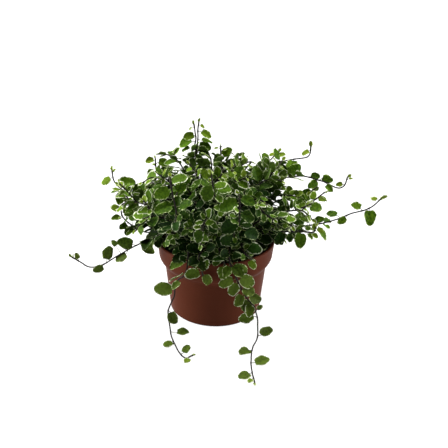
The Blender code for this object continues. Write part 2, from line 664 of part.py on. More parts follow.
def tree_of(surfaces):
    """One search tree over several surfaces, each given as its vertices and faces."""
    vertices = []
    faces = []
    for surface_vertices, surface_faces in surfaces:
        start = len(vertices)
        vertices += [Vector(v) for v in surface_vertices]
        faces += [tuple(start + index for index in face) for face in surface_faces]
    return BVHTree.FromPolygons(vertices, faces)


def box_surface(low, high):
    corners = [Vector((x, y, z)) for z in (low[2], high[2]) for y in (low[1], high[1])
               for x in (low[0], high[0])]
    return corners, [(0, 1, 3, 2), (4, 5, 7, 6), (0, 1, 5, 4), (2, 3, 7, 6), (0, 2, 6, 4), (1, 3, 7, 5)]


def held_clear():
    """The surfaces that nothing may touch: the pot, the soil and the gaps for water."""
    pot = turned(outer_wall() + inner_wall(), POT_SIDES)
    soil = turned([(0.1, SOIL_TOP), (SHOULDER_RADIUS - WALL, SOIL_TOP)], POT_SIDES)
    return [pot, soil] + [box_surface(*gap) for gap in WATERING_GAPS]


class Crown:
    """All that is in place, so that each new stem or leaf can be tried against it."""

    def __init__(self):
        self.surfaces = held_clear()
        self.fixed = tree_of(self.surfaces)
        self.leaves = []

    def add_stem(self, stem):
        self.surfaces.append(stem.surface())
        self.fixed = tree_of(self.surfaces)

    def takes_stem(self, stem):
        start = TWIG_FREE if stem.twig else None
        return not tree_of([stem.surface(STEM_CLEAR, start)]).overlap(self.fixed)

    def takes_leaf(self, leaf):
        """True if the leaf touches nothing, and then it is in place."""
        vertices, faces = leaf.envelope()
        if min(v.z for v in vertices) < GAP:
            return False
        envelope = BVHTree.FromPolygons(vertices, faces)
        if envelope.overlap(self.fixed):
            return False
        middle = (leaf.foot + leaf.tip) / 2
        reach = (leaf.tip - leaf.foot).length / 2 + NEAR
        for where, far, tree in self.leaves:
            if (middle - where).length < reach + far and envelope.overlap(tree):
                return False
        self.leaves.append((middle, reach, tree_of([leaf.surface()])))
        return True


def chosen_shoots(crown):
    shoots = []
    for plan in CHOSEN_SHOOTS:
        route = [Vector((*plan.root, SOIL_TOP + GAP))] + [Vector(point) for point in plan.points]
        stem = Stem(plan.name, route, plan.size, plan.internode, plan.side, plan.leaves)
        shoot = Shoot(plan.name, stem)
        crown.add_stem(stem)
        for number, twig_plan in enumerate(plan.twigs):
            foot = stem.places[twig_plan.joint]
            points = [stem.route.at(foot)] + [Vector(point) for point in twig_plan.points]
            twig = Stem(f"{plan.name} twig {number}", points, plan.size, TWIG_INTERNODE,
                        leaves=twig_plan.leaves, twig=True)
            shoot.add_twig(twig, foot)
            crown.add_stem(twig)
        shoots.append(shoot)
    return shoots


def dome_shoots(tier, crown):
    shoots = []
    for number in range(tier.count):
        for attempt in range(DOME_TRIES):
            name = f"{tier.name}_{number + 1:02d}"
            rng = random.Random(f"{name} {attempt}")
            points = dome_points(tier, number, rng)
            stem = Stem(name, points, rng.uniform(*DOME_LEAF_SIZE), DOME_INTERNODE)
            if crown.takes_stem(stem):
                shoots.append(Shoot(name, stem))
                crown.add_stem(stem)
                break
    return shoots


def add_dome_twigs(shoot, wanted, crown):
    """Give the shoot up to the wanted number of twigs, each beside one of its middle leaves."""
    main = shoot.stems[0]
    low, high = (share * main.route.length for share in TWIG_FEET)
    joints = [s for s in main.places if low < s < high]
    for number in range(wanted):
        for attempt in range(TWIG_TRIES):
            name = f"{shoot.name} twig {number}"
            rng = random.Random(f"{name} {attempt}")
            foot = rng.choice(joints)
            points = twig_points(main.route.at(foot), main.route.tangent(foot), rng)
            twig = Stem(name, points, main.size * TWIG_SIZE, TWIG_INTERNODE, twig=True)
            if foot not in shoot.twig_feet and crown.takes_stem(twig):
                shoot.add_twig(twig, foot)
                crown.add_stem(twig)
                break


def plan_plant(crown):
    """All shoots with their twigs, still without leaves."""
    shoots = chosen_shoots(crown)
    tiers = [(tier, dome_shoots(tier, crown)) for tier in DOME_TIERS]
    for tier, members in tiers:
        for shoot in members:
            add_dome_twigs(shoot, tier.twigs, crown)
        shoots += members
    return shoots


def settle_leaves(shoots, crown):
    """Give every stem its leaves, first those placed by hand, each where it touches nothing."""
    for make_leaf in (placed_leaf, free_leaf):
        for shoot in shoots:
            for stem in shoot.stems:
                for number, s in enumerate(stem.places):
                    if (number < len(stem.placed)) != (make_leaf is placed_leaf):
                        continue
                    attempts = (make_leaf(stem, number, s, attempt) for attempt in range(LEAF_TRIES))
                    leaf = next((leaf for leaf in attempts if crown.takes_leaf(leaf)), None)
                    if leaf:
                        shoot.grow_leaf(stem, s, leaf)


def main():
    for old in list(bpy.data.objects):
        bpy.data.objects.remove(old, do_unlink=True)
    make_pot()
    make_soil()
    foliage = material("fig foliage", (0.10, 0.24, 0.04), 0.45)
    crown = Crown()
    shoots = plan_plant(crown)
    for shoot in shoots:
        shoot.build()
    settle_leaves(shoots, crown)
    for shoot in shoots:
        faces = [face for face in shoot.faces if face]
        add_object(shoot.name, shoot.vertices, faces, foliage)


main()
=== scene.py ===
"""Looks of the potted creeping fig: a variegated Ficus pumila in a 12 cm nursery pot.

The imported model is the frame. The stems, twigs and leaves follow the same rules as its solids,
so every fine stem and leaf lies on its own solid. Between them come smaller leaves, and at the
tips folded ones, that the solids leave out. Lengths are in millimetres until a mesh is made.
"""

import math
import random
from bisect import bisect_left
from collections import namedtuple

import bmesh
import bpy
import numpy as np
from mathutils import Matrix, Vector, noise
from mathutils.bvhtree import BVHTree
from mathutils.kdtree import KDTree


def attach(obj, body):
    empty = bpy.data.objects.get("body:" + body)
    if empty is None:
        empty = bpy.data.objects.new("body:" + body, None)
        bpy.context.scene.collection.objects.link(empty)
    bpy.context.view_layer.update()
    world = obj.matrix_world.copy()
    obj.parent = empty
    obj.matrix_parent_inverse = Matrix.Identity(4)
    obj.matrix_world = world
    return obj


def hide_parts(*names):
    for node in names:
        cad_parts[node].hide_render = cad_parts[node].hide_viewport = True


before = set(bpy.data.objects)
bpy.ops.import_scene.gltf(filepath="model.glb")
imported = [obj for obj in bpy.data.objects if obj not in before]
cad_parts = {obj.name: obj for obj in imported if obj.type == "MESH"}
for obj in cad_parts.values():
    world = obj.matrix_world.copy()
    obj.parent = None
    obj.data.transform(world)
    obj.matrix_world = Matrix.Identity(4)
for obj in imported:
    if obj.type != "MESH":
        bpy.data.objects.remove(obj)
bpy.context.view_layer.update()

MM = 0.001
UP = Vector((0.0, 0.0, 1.0))
FRONT = Vector((0.0, -1.0, 0.0))

# Pot
RIM_RADIUS = 60.6
POT_HEIGHT = 80.0
FOOT_RADIUS = 47.3
BODY_TOP_RADIUS = 52.9
COLLAR_Z = 54.0
SHOULDER_RADIUS = 58.7
SHOULDER_Z = 64.0
SHOULDER_START = 35.0
SHOULDER_STEPS = 4
WALL = 1.5
LIP = 0.8
POT_SIDES = 40
DRAIN_HOLES = 8
DRAIN_HOLE_RADIUS = 2.4
DRAIN_CIRCLE_RADIUS = 36.0

# Soil
SOIL_TOP = 66.0
GAP = 0.3
SOIL_GAP = 0.8

# Gaps over the soil that stay free of leaves, so that water gets in: low and high corners
WATERING_GAPS = (
    ((-10.0, 45.0, 67.0), (10.0, 54.0, 79.0)),
    ((45.0, -10.0, 67.0), (54.0, 10.0, 79.0)),
    ((-54.0, -8.0, 67.0), (-45.0, 8.0, 79.0)),
    ((-8.0, -54.0, 67.0), (8.0, -45.0, 79.0)),
)

# Stems and twigs
STEM_RADII = (0.85, 0.4)
TWIG_RADII = (0.6, 0.35)
STEM_CLEAR = 0.5
LOWEST_STEM = 1.6
ROUTE_STEP = 1.0
RING_SPACING = 15.0
JOINT_HALF = 1.0
FIRST_LEAF = 2.5
TIP_CONE = 0.8
TIP_INTERNODE = 0.6
INTERNODE_SCATTER = 0.8
YOUNGEST_SIZE = 0.42
YOUNG_LENGTH = 26.0
STALK = 3.6
BARE_SHARE = (0.22, 0.34)
TWIG_START = 2.2
TWIG_FREE = 4.0
TWIG_BARE = 5.0
TWIG_INTERNODE = 7.0
TWIG_LENGTH = (20.0, 32.0)
TWIG_SIZE = 0.88
TWIG_FEET = (0.3, 0.85)
TWIG_TRIES = 40

# Leaves
LEAF_LENGTH = 15.5
LEAF_WIDTH = 0.78
LEAF_DEPTH = 0.6
STALK_WIDTH = 0.8
STALK_DEPTH = 0.45
STALK_FREE = 0.45
LEAF_RINGS = ((0.30, 0.46), (0.68, 0.43))
LEAF_TRIES = 18
CLEAR = 0.7
LOW_LEAF = 10.0
LOW_LEAF_RISE = 0.14
NEAR = 4.0

# A leaf that is listed: how far back from the stem's tip it stands, the length of its
# stalk and of its blade, and how far each is turned from the stem's own way, counterclockwise
# as the front sees it. A blade with a facing of 0 looks up, and one of 90 looks to the front.
Placed = namedtuple("Placed", "back stalk stalk_turn length turn facing")

# A twig that is listed: the number of the leaf, counted from the stem's tip, beside
# which it leaves the stem, the points of its route and its placed leaves.
Twig = namedtuple("Twig", "joint points leaves")

# Shoots whose routes are chosen one by one. Each has its leaf size (1 is LEAF_LENGTH), its
# internode, the side of its last leaf, the (x, y) of its root, the points of its route, the
# listed leaves near its tip, and its twigs.
Chosen = namedtuple("Chosen", "name size internode side root points leaves twigs", defaults=((), ()))
CHOSEN_SHOOTS = (
    Chosen("long_shoot_left", 1.1, 9.0, 1, (-27, -7),
           ((-43, -14, 90), (-66, -18, 84), (-82, -23, 78), (-97, -26, 70), (-112, -29, 61),
            (-125, -32, 59), (-134, -33, 65), (-142, -34, 71)),
           ((7, 2.5, -60, 7.5, -15, 35), (34, 2.5, 50, 12.5, -15, 85), (38, 4, -100, 14, -130, 90),
            (55, 10, -85, 7.5, -85, 45), (63, 5, 30, 14, -10, 30), (73, 4.5, -30, 17, -25, 50),
            (79, 2.5, 110, 14, 110, 80))),
    Chosen("low_shoot_left", 1.0, 8.0, 1, (-27, 2),
           ((-44, 4, 88), (-60, 4, 86), (-70, 3, 81), (-82, 4, 85), (-90, 5, 91), (-96, 5, 98),
            (-97, 5, 107)),
           ((2.5, 2.5, 45, 9.5, 75, 60), (5, 2.5, -50, 9, -85, 45), (10, 2.5, 70, 9.5, 65, 25),
            (18, 2.5, 95, 9, 70, 60), (22, 2.5, 130, 10, 95, 70))),
    Chosen("upper_shoot_left", 1.0, 8.5, 1, (-17, 8),
           ((-32, 8, 88), (-58, 8, 99), (-73, 13, 110), (-88, 18, 118), (-97, 20, 121), (-105, 23, 129),
            (-107, 24, 140)),
           ((7, 3, 95, 11, 110, 40), (15.5, 3, -105, 17, -125, 35), (24, 2.5, 95, 13.5, 110, 90),
            (33, 4.5, -80, 13.5, -140, 75), (40.5, 3, 100, 12, 80, 60))),
    Chosen("rear_shoot_left", 0.95, 8.5, 1, (-14, 17),
           ((-30, 24, 98), (-54, 33, 121), (-59, 45, 129), (-64, 49, 134), (-65, 51, 143)),
           ((2.5, 2.5, 45, 9, 100, 50), (5.5, 4.5, -55, 11.5, -105, 60), (10.5, 5.5, 65, 9, 130, 60),
            (16.5, 3, -60, 11, -105, 40))),
    Chosen("tall_shoot_left", 0.85, 9.0, -1, (-8, 10),
           ((-14, 14, 95), (-24, 22, 127), (-26, 28, 147), (-22, 32, 158), (-23, 33, 165), (-22, 34, 173),
            (-24, 36, 187)),
           ((2.5, 2.5, 105, 4, 110, 30), (12.5, 2.5, 45, 11, 100, 65), (18, 4, 90, 14.5, 125, 35),
            (25.5, 6.5, 60, 8.5, 105, 10))),
    Chosen("tall_shoot_right", 0.85, 9.0, 1, (-3, 14),
           ((-7, 18, 100), (-17, 24, 126), (-22, 30, 148), (-21, 34, 159), (-20, 36, 171), (-20, 38, 180),
            (-19, 39, 188)),
           ((3, 2.5, -60, 5, -125, 30), (9, 4, -90, 11.5, -125, 40), (17.5, 4, -90, 11.5, -105, 5),
            (24.5, 2.5, -55, 12.5, -95, 60), (30, 2.5, -105, 10.5, -85, 45))),
    Chosen("top_shoot", 0.95, 8.5, 1, (5, 11),
           ((6, 22, 105), (5, 31, 135), (4, 34, 152), (3, 36, 164)),
           ((2.5, 2.5, 60, 4.5, 95, 20), (5, 2.5, -60, 4.5, -80, 20), (11, 2.5, -50, 11.5, -60, 60))),
    Chosen("upper_shoot_right", 1.1, 8.5, 1, (14, 15),
           ((26, 24, 98), (39, 30, 121), (47, 38, 134), (60, 46, 139), (71, 51, 143), (81, 54, 144),
            (94, 57, 145), (98, 58, 150), (98, 58, 157)),
           ((3.5, 2.5, 130, 8.5, 115, 30), (27, 2.5, -135, 17.5, -115, 85), (49.5, 2.5, -50, 15, -65, 80),
            (60, 3, 70, 13, 60, 60))),
    Chosen("rear_shoot_right", 0.95, 8.5, 1, (11, 24),
           ((26, 38, 100), (41, 55, 118), (54, 68, 133), (66, 75, 144)),
           ((3, 2.5, 130, 6, 150, 30), (5.5, 2.5, -50, 9, -35, 25), (17, 2.5, 60, 11, 45, 60))),
    Chosen("arching_shoot_right", 1.1, 9.0, -1, (21, 7),
           ((31, 12, 98), (39, 15, 120), (52, 22, 132), (69, 27, 134), (89, 30, 135), (104, 30, 131),
            (114, 29, 128), (122, 28, 124), (128, 28, 123), (132, 28, 127), (134, 28, 135)),
           ((2.5, 2.5, -50, 4, -65, 20), (8.5, 2.5, 130, 8, 160, 50), (29.5, 2.5, -50, 11.5, 10, 50),
            (38, 5, 45, 12.5, -20, 70), (42, 2.5, -60, 11.5, -125, 50), (49, 3.5, 65, 10, 5, 75),
            (70.5, 2.5, 50, 16.5, 25, 50), (77, 2.5, -90, 17, -160, 75)),
           (Twig(4, ((104, 28, 126), (98, 26, 119)), ((2.5, 2.5, -45, 16.5, 5, 85),)),)),
    Chosen("middle_shoot_right", 1.15, 8.0, 1, (26, 3),
           ((41, 9, 96), (56, 10, 112), (70, 10, 119), (82, 12, 121)),
           ((2.5, 2.5, -50, 13, -60, 75), (9, 2.5, 60, 10, 75, 50), (17, 2.5, -70, 14, -85, 80))),
    Chosen("long_shoot_right", 1.1, 9.5, -1, (31, -4),
           ((44, -5, 86), (60, -5, 90), (82, -5, 94), (105, -5, 98), (121, -5, 103), (136, -5, 110),
            (153, -5, 116), (164, -5, 127)),
           ((2.5, 3, 130, 7, 115, 50), (15.5, 2.5, -125, 15.5, -115, 90), (23.5, 4, 90, 10.5, 145, 55),
            (39, 3, -130, 10, -165, 70), (46, 5, 115, 11, 145, 30), (72.5, 4, 75, 9.5, 10, 55),
            (78, 5, 85, 12, 150, 15), (84, 2.5, -130, 9.5, -150, 80))),
    Chosen("low_shoot_right", 1.05, 8.0, 1, (28, -12),
           ((43, -15, 89), (58, -18, 96), (69, -22, 97), (81, -24, 99), (91, -26, 99), (96, -26, 99),
            (98, -26, 105)),
           ((2.5, 2.5, -50, 7, -110, 55), (5, 2.5, 50, 6, 20, 55), (19.5, 2.5, -75, 15.5, -85, 90),
            (29, 2.5, -115, 9, -95, 60), (35, 2.5, -135, 13.5, -110, 80))),
    Chosen("trailing_shoot_left", 1.05, 14.0, 1, (-14, -20),
           ((-22, -38, 90), (-26, -55, 90), (-27, -66, 80), (-30, -65, 70), (-36, -62, 64),
            (-39, -61, 56), (-40, -60, 44), (-46, -59, 27), (-45, -59, 10), (-43, -67, 2), (-39, -80, 2),
            (-33, -96, 2), (-27, -103, 2), (-21, -99, 2)),
           ((4.5, 2.5, -110, 8, -150, 20), (15.5, 4, 70, 10, 125, 20), (39.5, 2.5, -50, 12, -55, 15),
            (52, 7, 65, 12, 70, 15), (76, 3, 60, 14, 20, 60), (104, 3.5, -50, 18, -90, 45),
            (116, 2.5, 50, 12.5, -10, 15))),
    Chosen("trailing_shoot_right", 1.05, 13.0, 1, (10, -22),
           ((14, -40, 90), (13, -58, 94), (13, -67, 88), (17, -67, 78), (21, -66, 66), (26, -64, 54),
            (32, -61, 42), (38, -60, 34), (42, -60, 20), (43, -60, 8), (42, -70, 2), (37, -86, 2),
            (35, -104, 2), (35, -120, 2), (37, -138, 2)),
           ((6, 2.5, -50, 7, -35, 15), (14, 3.5, -70, 13, -50, 15), (29, 4, 85, 14.5, 105, 15),
            (49, 3, -60, 14, -25, 15), (73, 4, 95, 14, 140, 20), (94, 4.5, -130, 15.5, -90, 85),
            (101, 4.5, -130, 17, -145, 50), (105, 2.5, 55, 6.5, 90, 50), (112, 3.5, -100, 14, -60, 60),
            (122, 4.5, 45, 15, 15, 50), (127.5, 2.5, -80, 13, -60, 60), (135, 3, 45, 15, 10, 60),
            (145, 3, -50, 14, -40, 70), (148, 4, -85, 14.5, -100, 80), (151.5, 7, 45, 18, 30, 65),
            (161, 2.5, 95, 18, 25, 85), (166.5, 3.5, -80, 13.5, -85, 40))),
    Chosen("front_shoot_left", 1.0, 7.5, 1, (-5, -24),
           ((-9, -42, 88), (-16, -62, 90), (-14, -67, 83), (-12, -66, 71)),
           ((2.5, 3, 45, 12.5, 10, 50), (6.5, 3, -75, 14.5, -85, 80), (9, 2.5, 105, 10, 160, 60),
            (12.5, 2.5, -115, 8.5, -135, 60))),
    Chosen("front_shoot_middle", 1.0, 7.5, 1, (2, -24),
           ((2, -42, 88), (5, -58, 91), (7, -66, 89), (9, -68, 83)),
           ((2.5, 3.5, -45, 13, -15, 50), (5, 2.5, 70, 9, 70, 60), (8.5, 3, 135, 16, -130, 75))),
    Chosen("front_shoot_right", 1.0, 8.5, 1, (21, -20),
           ((26, -34, 86), (21, -54, 96), (25, -60, 96), (29, -64, 93), (34, -64.5, 89)),
           ((2.5, 3, -45, 9.5, -30, 80), (10.5, 6.5, 115, 15, 35, 45), (15, 4, 135, 9, -130, 35))),
    Chosen("dome_shoot_left", 1.0, 8.5, 1, (-24, -12),
           ((-28, -24, 96), (-38, -44, 112), (-37, -62, 136), (-40, -62, 153), (-42, -60, 164),
            (-43, -56, 168)),
           ((2.5, 2.5, -135, 15, -85, 25), (8.5, 5.5, -135, 10.5, -80, 60), (11.5, 3, 80, 15, 105, 60),
            (27, 3.5, 85, 16.5, 95, 30), (33.5, 5, -135, 13, -145, 70))),
    Chosen("dome_shoot_low", 1.0, 8.0, 1, (-10, -14),
           ((-12, -30, 96), (-9, -50, 116), (-8, -66, 131), (-12, -73, 129), (-12, -74, 123)),
           ((2.5, 3.5, -45, 13.5, -5, 80), (5, 2.5, -45, 7, -85, 35), (7.5, 2.5, 95, 8, 145, 50))),
    Chosen("dome_shoot_high", 1.0, 8.0, 1, (2, -4),
           ((2, -16, 104), (0, -36, 132), (-3, -58, 156), (-4, -60, 165), (-5, -60, 173)),
           ((2.5, 2.5, 85, 10.5, 30, 60), (7, 5.5, 130, 16, 165, 80), (11, 2.5, -110, 11, -80, 30),
            (17.5, 3.5, -90, 17, -125, 40))),
    Chosen("dome_shoot_right", 1.0, 8.5, 1, (16, -14),
           ((18, -30, 92), (21, -58, 107), (21, -66, 123), (21, -68, 139), (21, -66, 149),
            (20, -62, 154)),
           ((3, 2.5, -100, 13, -125, 40), (6.5, 2.5, 105, 17.5, 105, 45), (17, 3, -95, 13, -125, 65),
            (24.5, 3, 135, 18, 125, 70), (35, 7, -105, 15, -130, 60), (40, 4.5, 135, 17.5, 125, 75))),
)

# Shoots of the dense dome, in tiers. Each has its count, the azimuth of the first, the radii of
# root and tip, the height over the soil, the droop of the tip, the share of its reach that is
# missing at the front, where the rim shows, and the twigs on each shoot.
Tier = namedtuple("Tier", "name count first root_radius tip_radius top droop front twigs")
DOME_TIERS = (
    Tier("skirt_shoot", 12, 8.0, 37.0, 69.0, 33.0, 13.0, 0.3, 1),
    Tier("lower_shoot", 11, 22.0, 29.0, 81.0, 56.0, 9.0, 0.2, 2),
    Tier("upper_shoot", 8, 5.0, 19.0, 60.0, 79.0, 5.0, 0.12, 2),
    Tier("crown_shoot", 5, 40.0, 9.0, 30.0, 92.0, 0.0, 0.12, 1),
)
# How radius and height grow along a dome shoot
DOME_REACH = (0.15, 0.5, 0.82, 1.0)
DOME_RISE = (0.55, 0.92, 1.0, 1.0)
# The dome spreads further to the sides.
SIDE_SPREAD = 0.16
DOME_TRIES = 30
DOME_INTERNODE = 9.6
DOME_LEAF_SIZE = (0.96, 1.16)

# How far dome shoots and twigs stray from their tier's plan
AZIMUTH_STRAY = 0.3
ROOT_STRAY = 3.0
TIP_SHARE = (0.86, 1.12)
TOP_SHARE = (0.86, 1.1)
DROOP_SHARE = (0.4, 1.3)
DOME_BEND = 16.0
TWIG_LEAN = (38.0, 62.0)
TWIG_BENDS = (0.0, 0.3, 0.45)

# How a leaf without a plan stands: its turn forward from square to the stem, at the tip and along
# the stem, its size, and how much each further attempt shrinks or turns it
LAST_FORWARD = 72.0
FORWARD = (22.0, 52.0)
LEAF_SIZE = (0.84, 1.1)
LEAF_SHRINK = 0.022
PLACED_SHRINK = 0.02
PLACED_SWING = 5.0
PLACED_LIFT = (-0.05, 0.08)
FLATTER = 0.85

# From here on only the looks are described. Fill leaves stand closer, smaller and at all angles,
# inside the dome and up to FILL_OUTSIDE beyond its skin, as dome_depth counts it.
FILL_STEP = 3.3
FILL_LOWEST = 7.0
FILL_END = 5.0
FILL_APART = 1.2
FILL_TRIES = 14
FILL_FORWARD = (5.0, 65.0)
FILL_STALK = (0.8, 1.9)
FILL_SIZE = (0.55, 0.92)
FILL_SHRINK = 0.03
FILL_CLEAR = 0.3
FILL_OUTSIDE = -0.13
RIM_CLEAR = 84.0
DOME_SIZE = (104.0, 90.0, 94.0)

# The two folded leaves at each tip: how far back they stand, and the ranges of their lean
BUD_BACK = (0.3, 1.6)
BUD_LEAN = ((4.0, 28.0), (25.0, 60.0))
BUD_STALK = (0.5, 1.2)
BUD_LENGTH = (3.4, 5.6)
BUD_CLEAR = 0.15

# Leaf colour: short leaves near a tip are young and lime. Leaves low, deep in the dome, at the
# front and beside the pot under the rim are darkened: a little for the deeper green of older
# leaves, mostly as painted shade, which is weaker at the sides, where the lamps shine.
YOUNG_BELOW = 14.0
YOUNG_SPREAD = 6.0
SHADE_DEPTH = 0.4
SHADE_BELOW = 175.0
SHADE_SPREAD = 70.0
SKIN_DEPTH = 0.3
FRONT_START = 30.0
FRONT_SHADE = 0.35
SIDE_START = 42.0
SIDE_SHADE_CUT = 0.75
BESIDE_POT_SHADE = 0.45

# A blade's grid and outline: its bluntness, how much wider it is near the stalk, and the lobes
# beside the stalk, with their reach, their place and their spread round the outline
LEAF_ROWS = 12
LEAF_ACROSS = np.array([-1.0, -0.86, -0.62, -0.28, 0.0, 0.28, 0.62, 0.86, 1.0])
LEAF_HALF_THICKNESS = 0.14
BLUNTNESS = 0.9
FOOT_WIDENING = 0.2
LOBE, LOBE_PLACE, LOBE_SPREAD = 0.085, 0.55, 0.3
RIB_SPACING = 1.18
EDGE_BOW = 1.4

# How blades differ, as shares of their width or length. The waves of the edge are (turns, depth),
# a lag is how far one side is behind the other, and PHASE is about a whole turn.
SKEW = 0.1
EDGE_WAVES = ((1.3, 0.07), (2.4, 0.05), (5.0, 0.025))
SWAY = 0.08
CUP = (-0.08, 0.16)
FOLD = (0.0, 0.12)
CURL = (0.0, 0.14)
WAVE_DEPTH = (0.02, 0.07)
WAVE_COUNT = (1.2, 2.2)
WAVE_LAG = 1.4
EDGE_LAG = (0.5, 2.5)
PHASE = 6.3
# The raised fields between the side veins, the groove over the midrib and the ridge under it
FIELD_COUNT = 3.5
FIELD_SPACING = 0.9
FIELD_RISE = 0.018
GROOVE_WIDTH = 0.1
GROOVE_DEPTH = 0.2
RIB_BELOW = 1.3
EDGE_THINNING = 0.45
# How far apart two leaves' patterns lie in the noise that they share
PATTERN_STEPS = (60.0, 40.0)

# Stalks: (along, below) of the end inside the blade and of the bend, and the radii along the
# stalk, which grow with the leaf's length
STALK_SIDES = 5
STALK_END = (0.9, 0.12)
STALK_BEND = (0.7, 0.25)
STALK_RADII = (0.5, 0.4, 0.34, 0.32, 0.3, 0.16)
STALK_SIZE = (0.7, 0.02)

# Stems: each is thinner than its solid, uneven, slightly zigzag and swollen at its leaves
STEM_SIDES = 7
STEM_STEP = 1.8
STEM_SHARE = 0.85
THINNEST_STEM = 0.72
YOUNG_STEM = 9.0
ROOT_DEPTH = 2.5
ZIGZAG = 0.28
ZIGZAG_PACE = 0.16
SWELLING = 0.28
SWELLING_REACH = 0.9
UNEVENNESS = 0.1
UNEVEN_PACE = 0.9
# The rounded end of a stem: the steps along it and the shares of THINNEST_STEM
STEM_END = ((0.4, 0.9), (0.6, 0.75), (0.6, 0.4))

# The finer pot, and the corner under its collar, which is rounded
FINE_POT_SIDES = 160
FINE_SHOULDER_STEPS = 14
EASE_STEPS = 4
EASE_REACH = 4.0
DRAIN_SIDES = 24

# The soil's fine top: (height, frequency) of its swells, and its crumbs and grit
SOIL_RINGS = 44
SOIL_SIDES = 120
SOIL_SWELLS = ((1.1, 0.11), (0.9, 0.45))
SOIL_SINK = 0.3
CRUMBS = 900
GRIT_EVERY = 14
CRUMB_CIRCLE = 53.0
CRUMB_SIZE = (0.4, 1.9)
CRUMB_POWER = 1.2
GRIT_SIZE = (0.5, 1.1)
CRUMB_RISE = (-0.3, 0.4)
CRUMB_LIFT = 0.2
CRUMB_SQUASH = ((0.7, 1.3), (0.7, 1.3), (0.5, 0.9))
CRUMB_DENTS = 0.5
CRUMB_PACE = 0.9

# How near a leaf's tip must be to its solid
TIP_TOLERANCE = 0.2
# Without a seed, noise_vector takes one from the clock.
NOISE_SEED = 1


def ring_faces(rings, sides):
    """Faces of a closed body made of rings that have the same number of corners."""
    faces = []
    for low in range(0, (rings - 1) * sides, sides):
        for k in range(sides):
            after = (k + 1) % sides
            faces.append((low + k, low + after, low + sides + after, low + sides + k))
    faces.append(tuple(range(sides))[::-1])
    faces.append(tuple(range((rings - 1) * sides, rings * sides)))
    return faces


def turned(profile, sides):
    """A body turned round Z from a profile that runs from the axis below to the axis above."""
    vertices = []
    for radius, z in profile:
        for k in range(sides):
            angle = 2.0 * math.pi * k / sides
            vertices.append((radius * math.cos(angle), radius * math.sin(angle), z))
    return vertices, ring_faces(len(profile), sides)


def outer_wall(steps=SHOULDER_STEPS):
    """(radius, z) up the outside of the pot: foot, tapered body, round shoulder, collar."""
    shoulder = []
    start = math.radians(SHOULDER_START)
    for k in range(steps + 1):
        turn = start + (math.pi / 2 - start) * k / steps
        out = (math.sin(turn) - math.sin(start)) / (1.0 - math.sin(start))
        down = math.cos(turn) / math.cos(start)
        shoulder.append((BODY_TOP_RADIUS + (SHOULDER_RADIUS - BODY_TOP_RADIUS) * out,
                         SHOULDER_Z - (SHOULDER_Z - COLLAR_Z) * down))
    foot = [(FOOT_RADIUS - LIP, 0.0), (FOOT_RADIUS, LIP)]
    rim = [(RIM_RADIUS - 0.3, POT_HEIGHT - 3.0 * LIP), (RIM_RADIUS, POT_HEIGHT - LIP),
           (RIM_RADIUS - LIP, POT_HEIGHT)]
    return foot + shoulder + rim


def inner_wall(steps=SHOULDER_STEPS):
    """(radius, z) down the inside of the pot, one wall thickness in from the outside."""
    inside = [(RIM_RADIUS - LIP - WALL, POT_HEIGHT)]
    for radius, z in outer_wall(steps)[-3:1:-1]:
        inside.append((radius - WALL, z))
    inside.append((FOOT_RADIUS - WALL, WALL))
    return inside


# --- Routes of the stems --------------------------------------------------------------------

def smooth_route(points):
    """Points every ROUTE_STEP along a Catmull-Rom curve through the given points."""
    ends = [points[0] * 2 - points[1]] + points + [points[-1] * 2 - points[-2]]
    fine = [points[0].copy()]
    for k in range(1, len(ends) - 2):
        a, b, c, d = ends[k - 1:k + 3]
        pieces = max(2, int((c - b).length / ROUTE_STEP))
        for j in range(1, pieces + 1):
            t = j / pieces
            point = 0.5 * (2 * b + (c - a) * t + (2 * a - 5 * b + 4 * c - d) * t ** 2
                           + (3 * b - a - 3 * c + d) * t ** 3)
            point.z = max(point.z, LOWEST_STEM)
            fine.append(point)
    return fine


class Route:
    """A stem's centre line, read by the length along it."""

    def __init__(self, points):
        self.points = smooth_route(points)
        self.marks = [0.0]
        for before, after in zip(self.points, self.points[1:]):
            self.marks.append(self.marks[-1] + (after - before).length)
        self.length = self.marks[-1]

    def at(self, s):
        s = min(max(s, 0.0), self.length)
        k = min(max(bisect_left(self.marks, s) - 1, 0), len(self.marks) - 2)
        share = (s - self.marks[k]) / (self.marks[k + 1] - self.marks[k])
        return self.points[k].lerp(self.points[k + 1], share)

    def tangent(self, s):
        return (self.at(s + 2.0) - self.at(s - 2.0)).normalized()


def outward(point):
    return Vector((point.x, point.y, 0.0)).normalized()


def dome_points(tier, number, rng):
    """The route of one shoot of a tier, from the soil to its tip."""
    place = number + rng.uniform(-AZIMUTH_STRAY, AZIMUTH_STRAY)
    azimuth = math.radians(tier.first + 360.0 * place / tier.count)
    root_radius = tier.root_radius + rng.uniform(-ROOT_STRAY, ROOT_STRAY)
    spread = 1.0 + SIDE_SPREAD * math.cos(azimuth) ** 2 + tier.front * min(0.0, math.sin(azimuth))
    tip_radius = tier.tip_radius * spread * rng.uniform(*TIP_SHARE)
    top = tier.top * rng.uniform(*TOP_SHARE)
    bend = math.radians(rng.uniform(-DOME_BEND, DOME_BEND))
    points = []
    for reach, rise in zip((0.0,) + DOME_REACH, (0.0,) + DOME_RISE):
        turn = azimuth + bend * reach
        radius = root_radius + (tip_radius - root_radius) * reach
        z = SOIL_TOP + GAP + top * rise
        points.append(Vector((radius * math.cos(turn), radius * math.sin(turn), z)))
    points[-1].z -= tier.droop * rng.uniform(*DROOP_SHARE)
    return points


def twig_points(foot, along, rng):
    """A twig's route: off the stem at an angle, then bending up and away from the pot's axis."""
    across = along.orthogonal().normalized()
    around = Matrix.Rotation(rng.uniform(0.0, 2.0 * math.pi), 3, along)
    lean = math.radians(rng.uniform(*TWIG_LEAN))
    way = along * math.cos(lean) + (around @ across) * math.sin(lean)
    step = rng.uniform(*TWIG_LENGTH) / len(TWIG_BENDS)
    drift = UP * 0.5 + outward(foot) * 0.5
    points = [foot]
    for bend in TWIG_BENDS:
        way = (way + drift * bend).normalized()
        points.append(points[-1] + way * step)
    return points


# --- Stems ----------------------------------------------------------------------------------

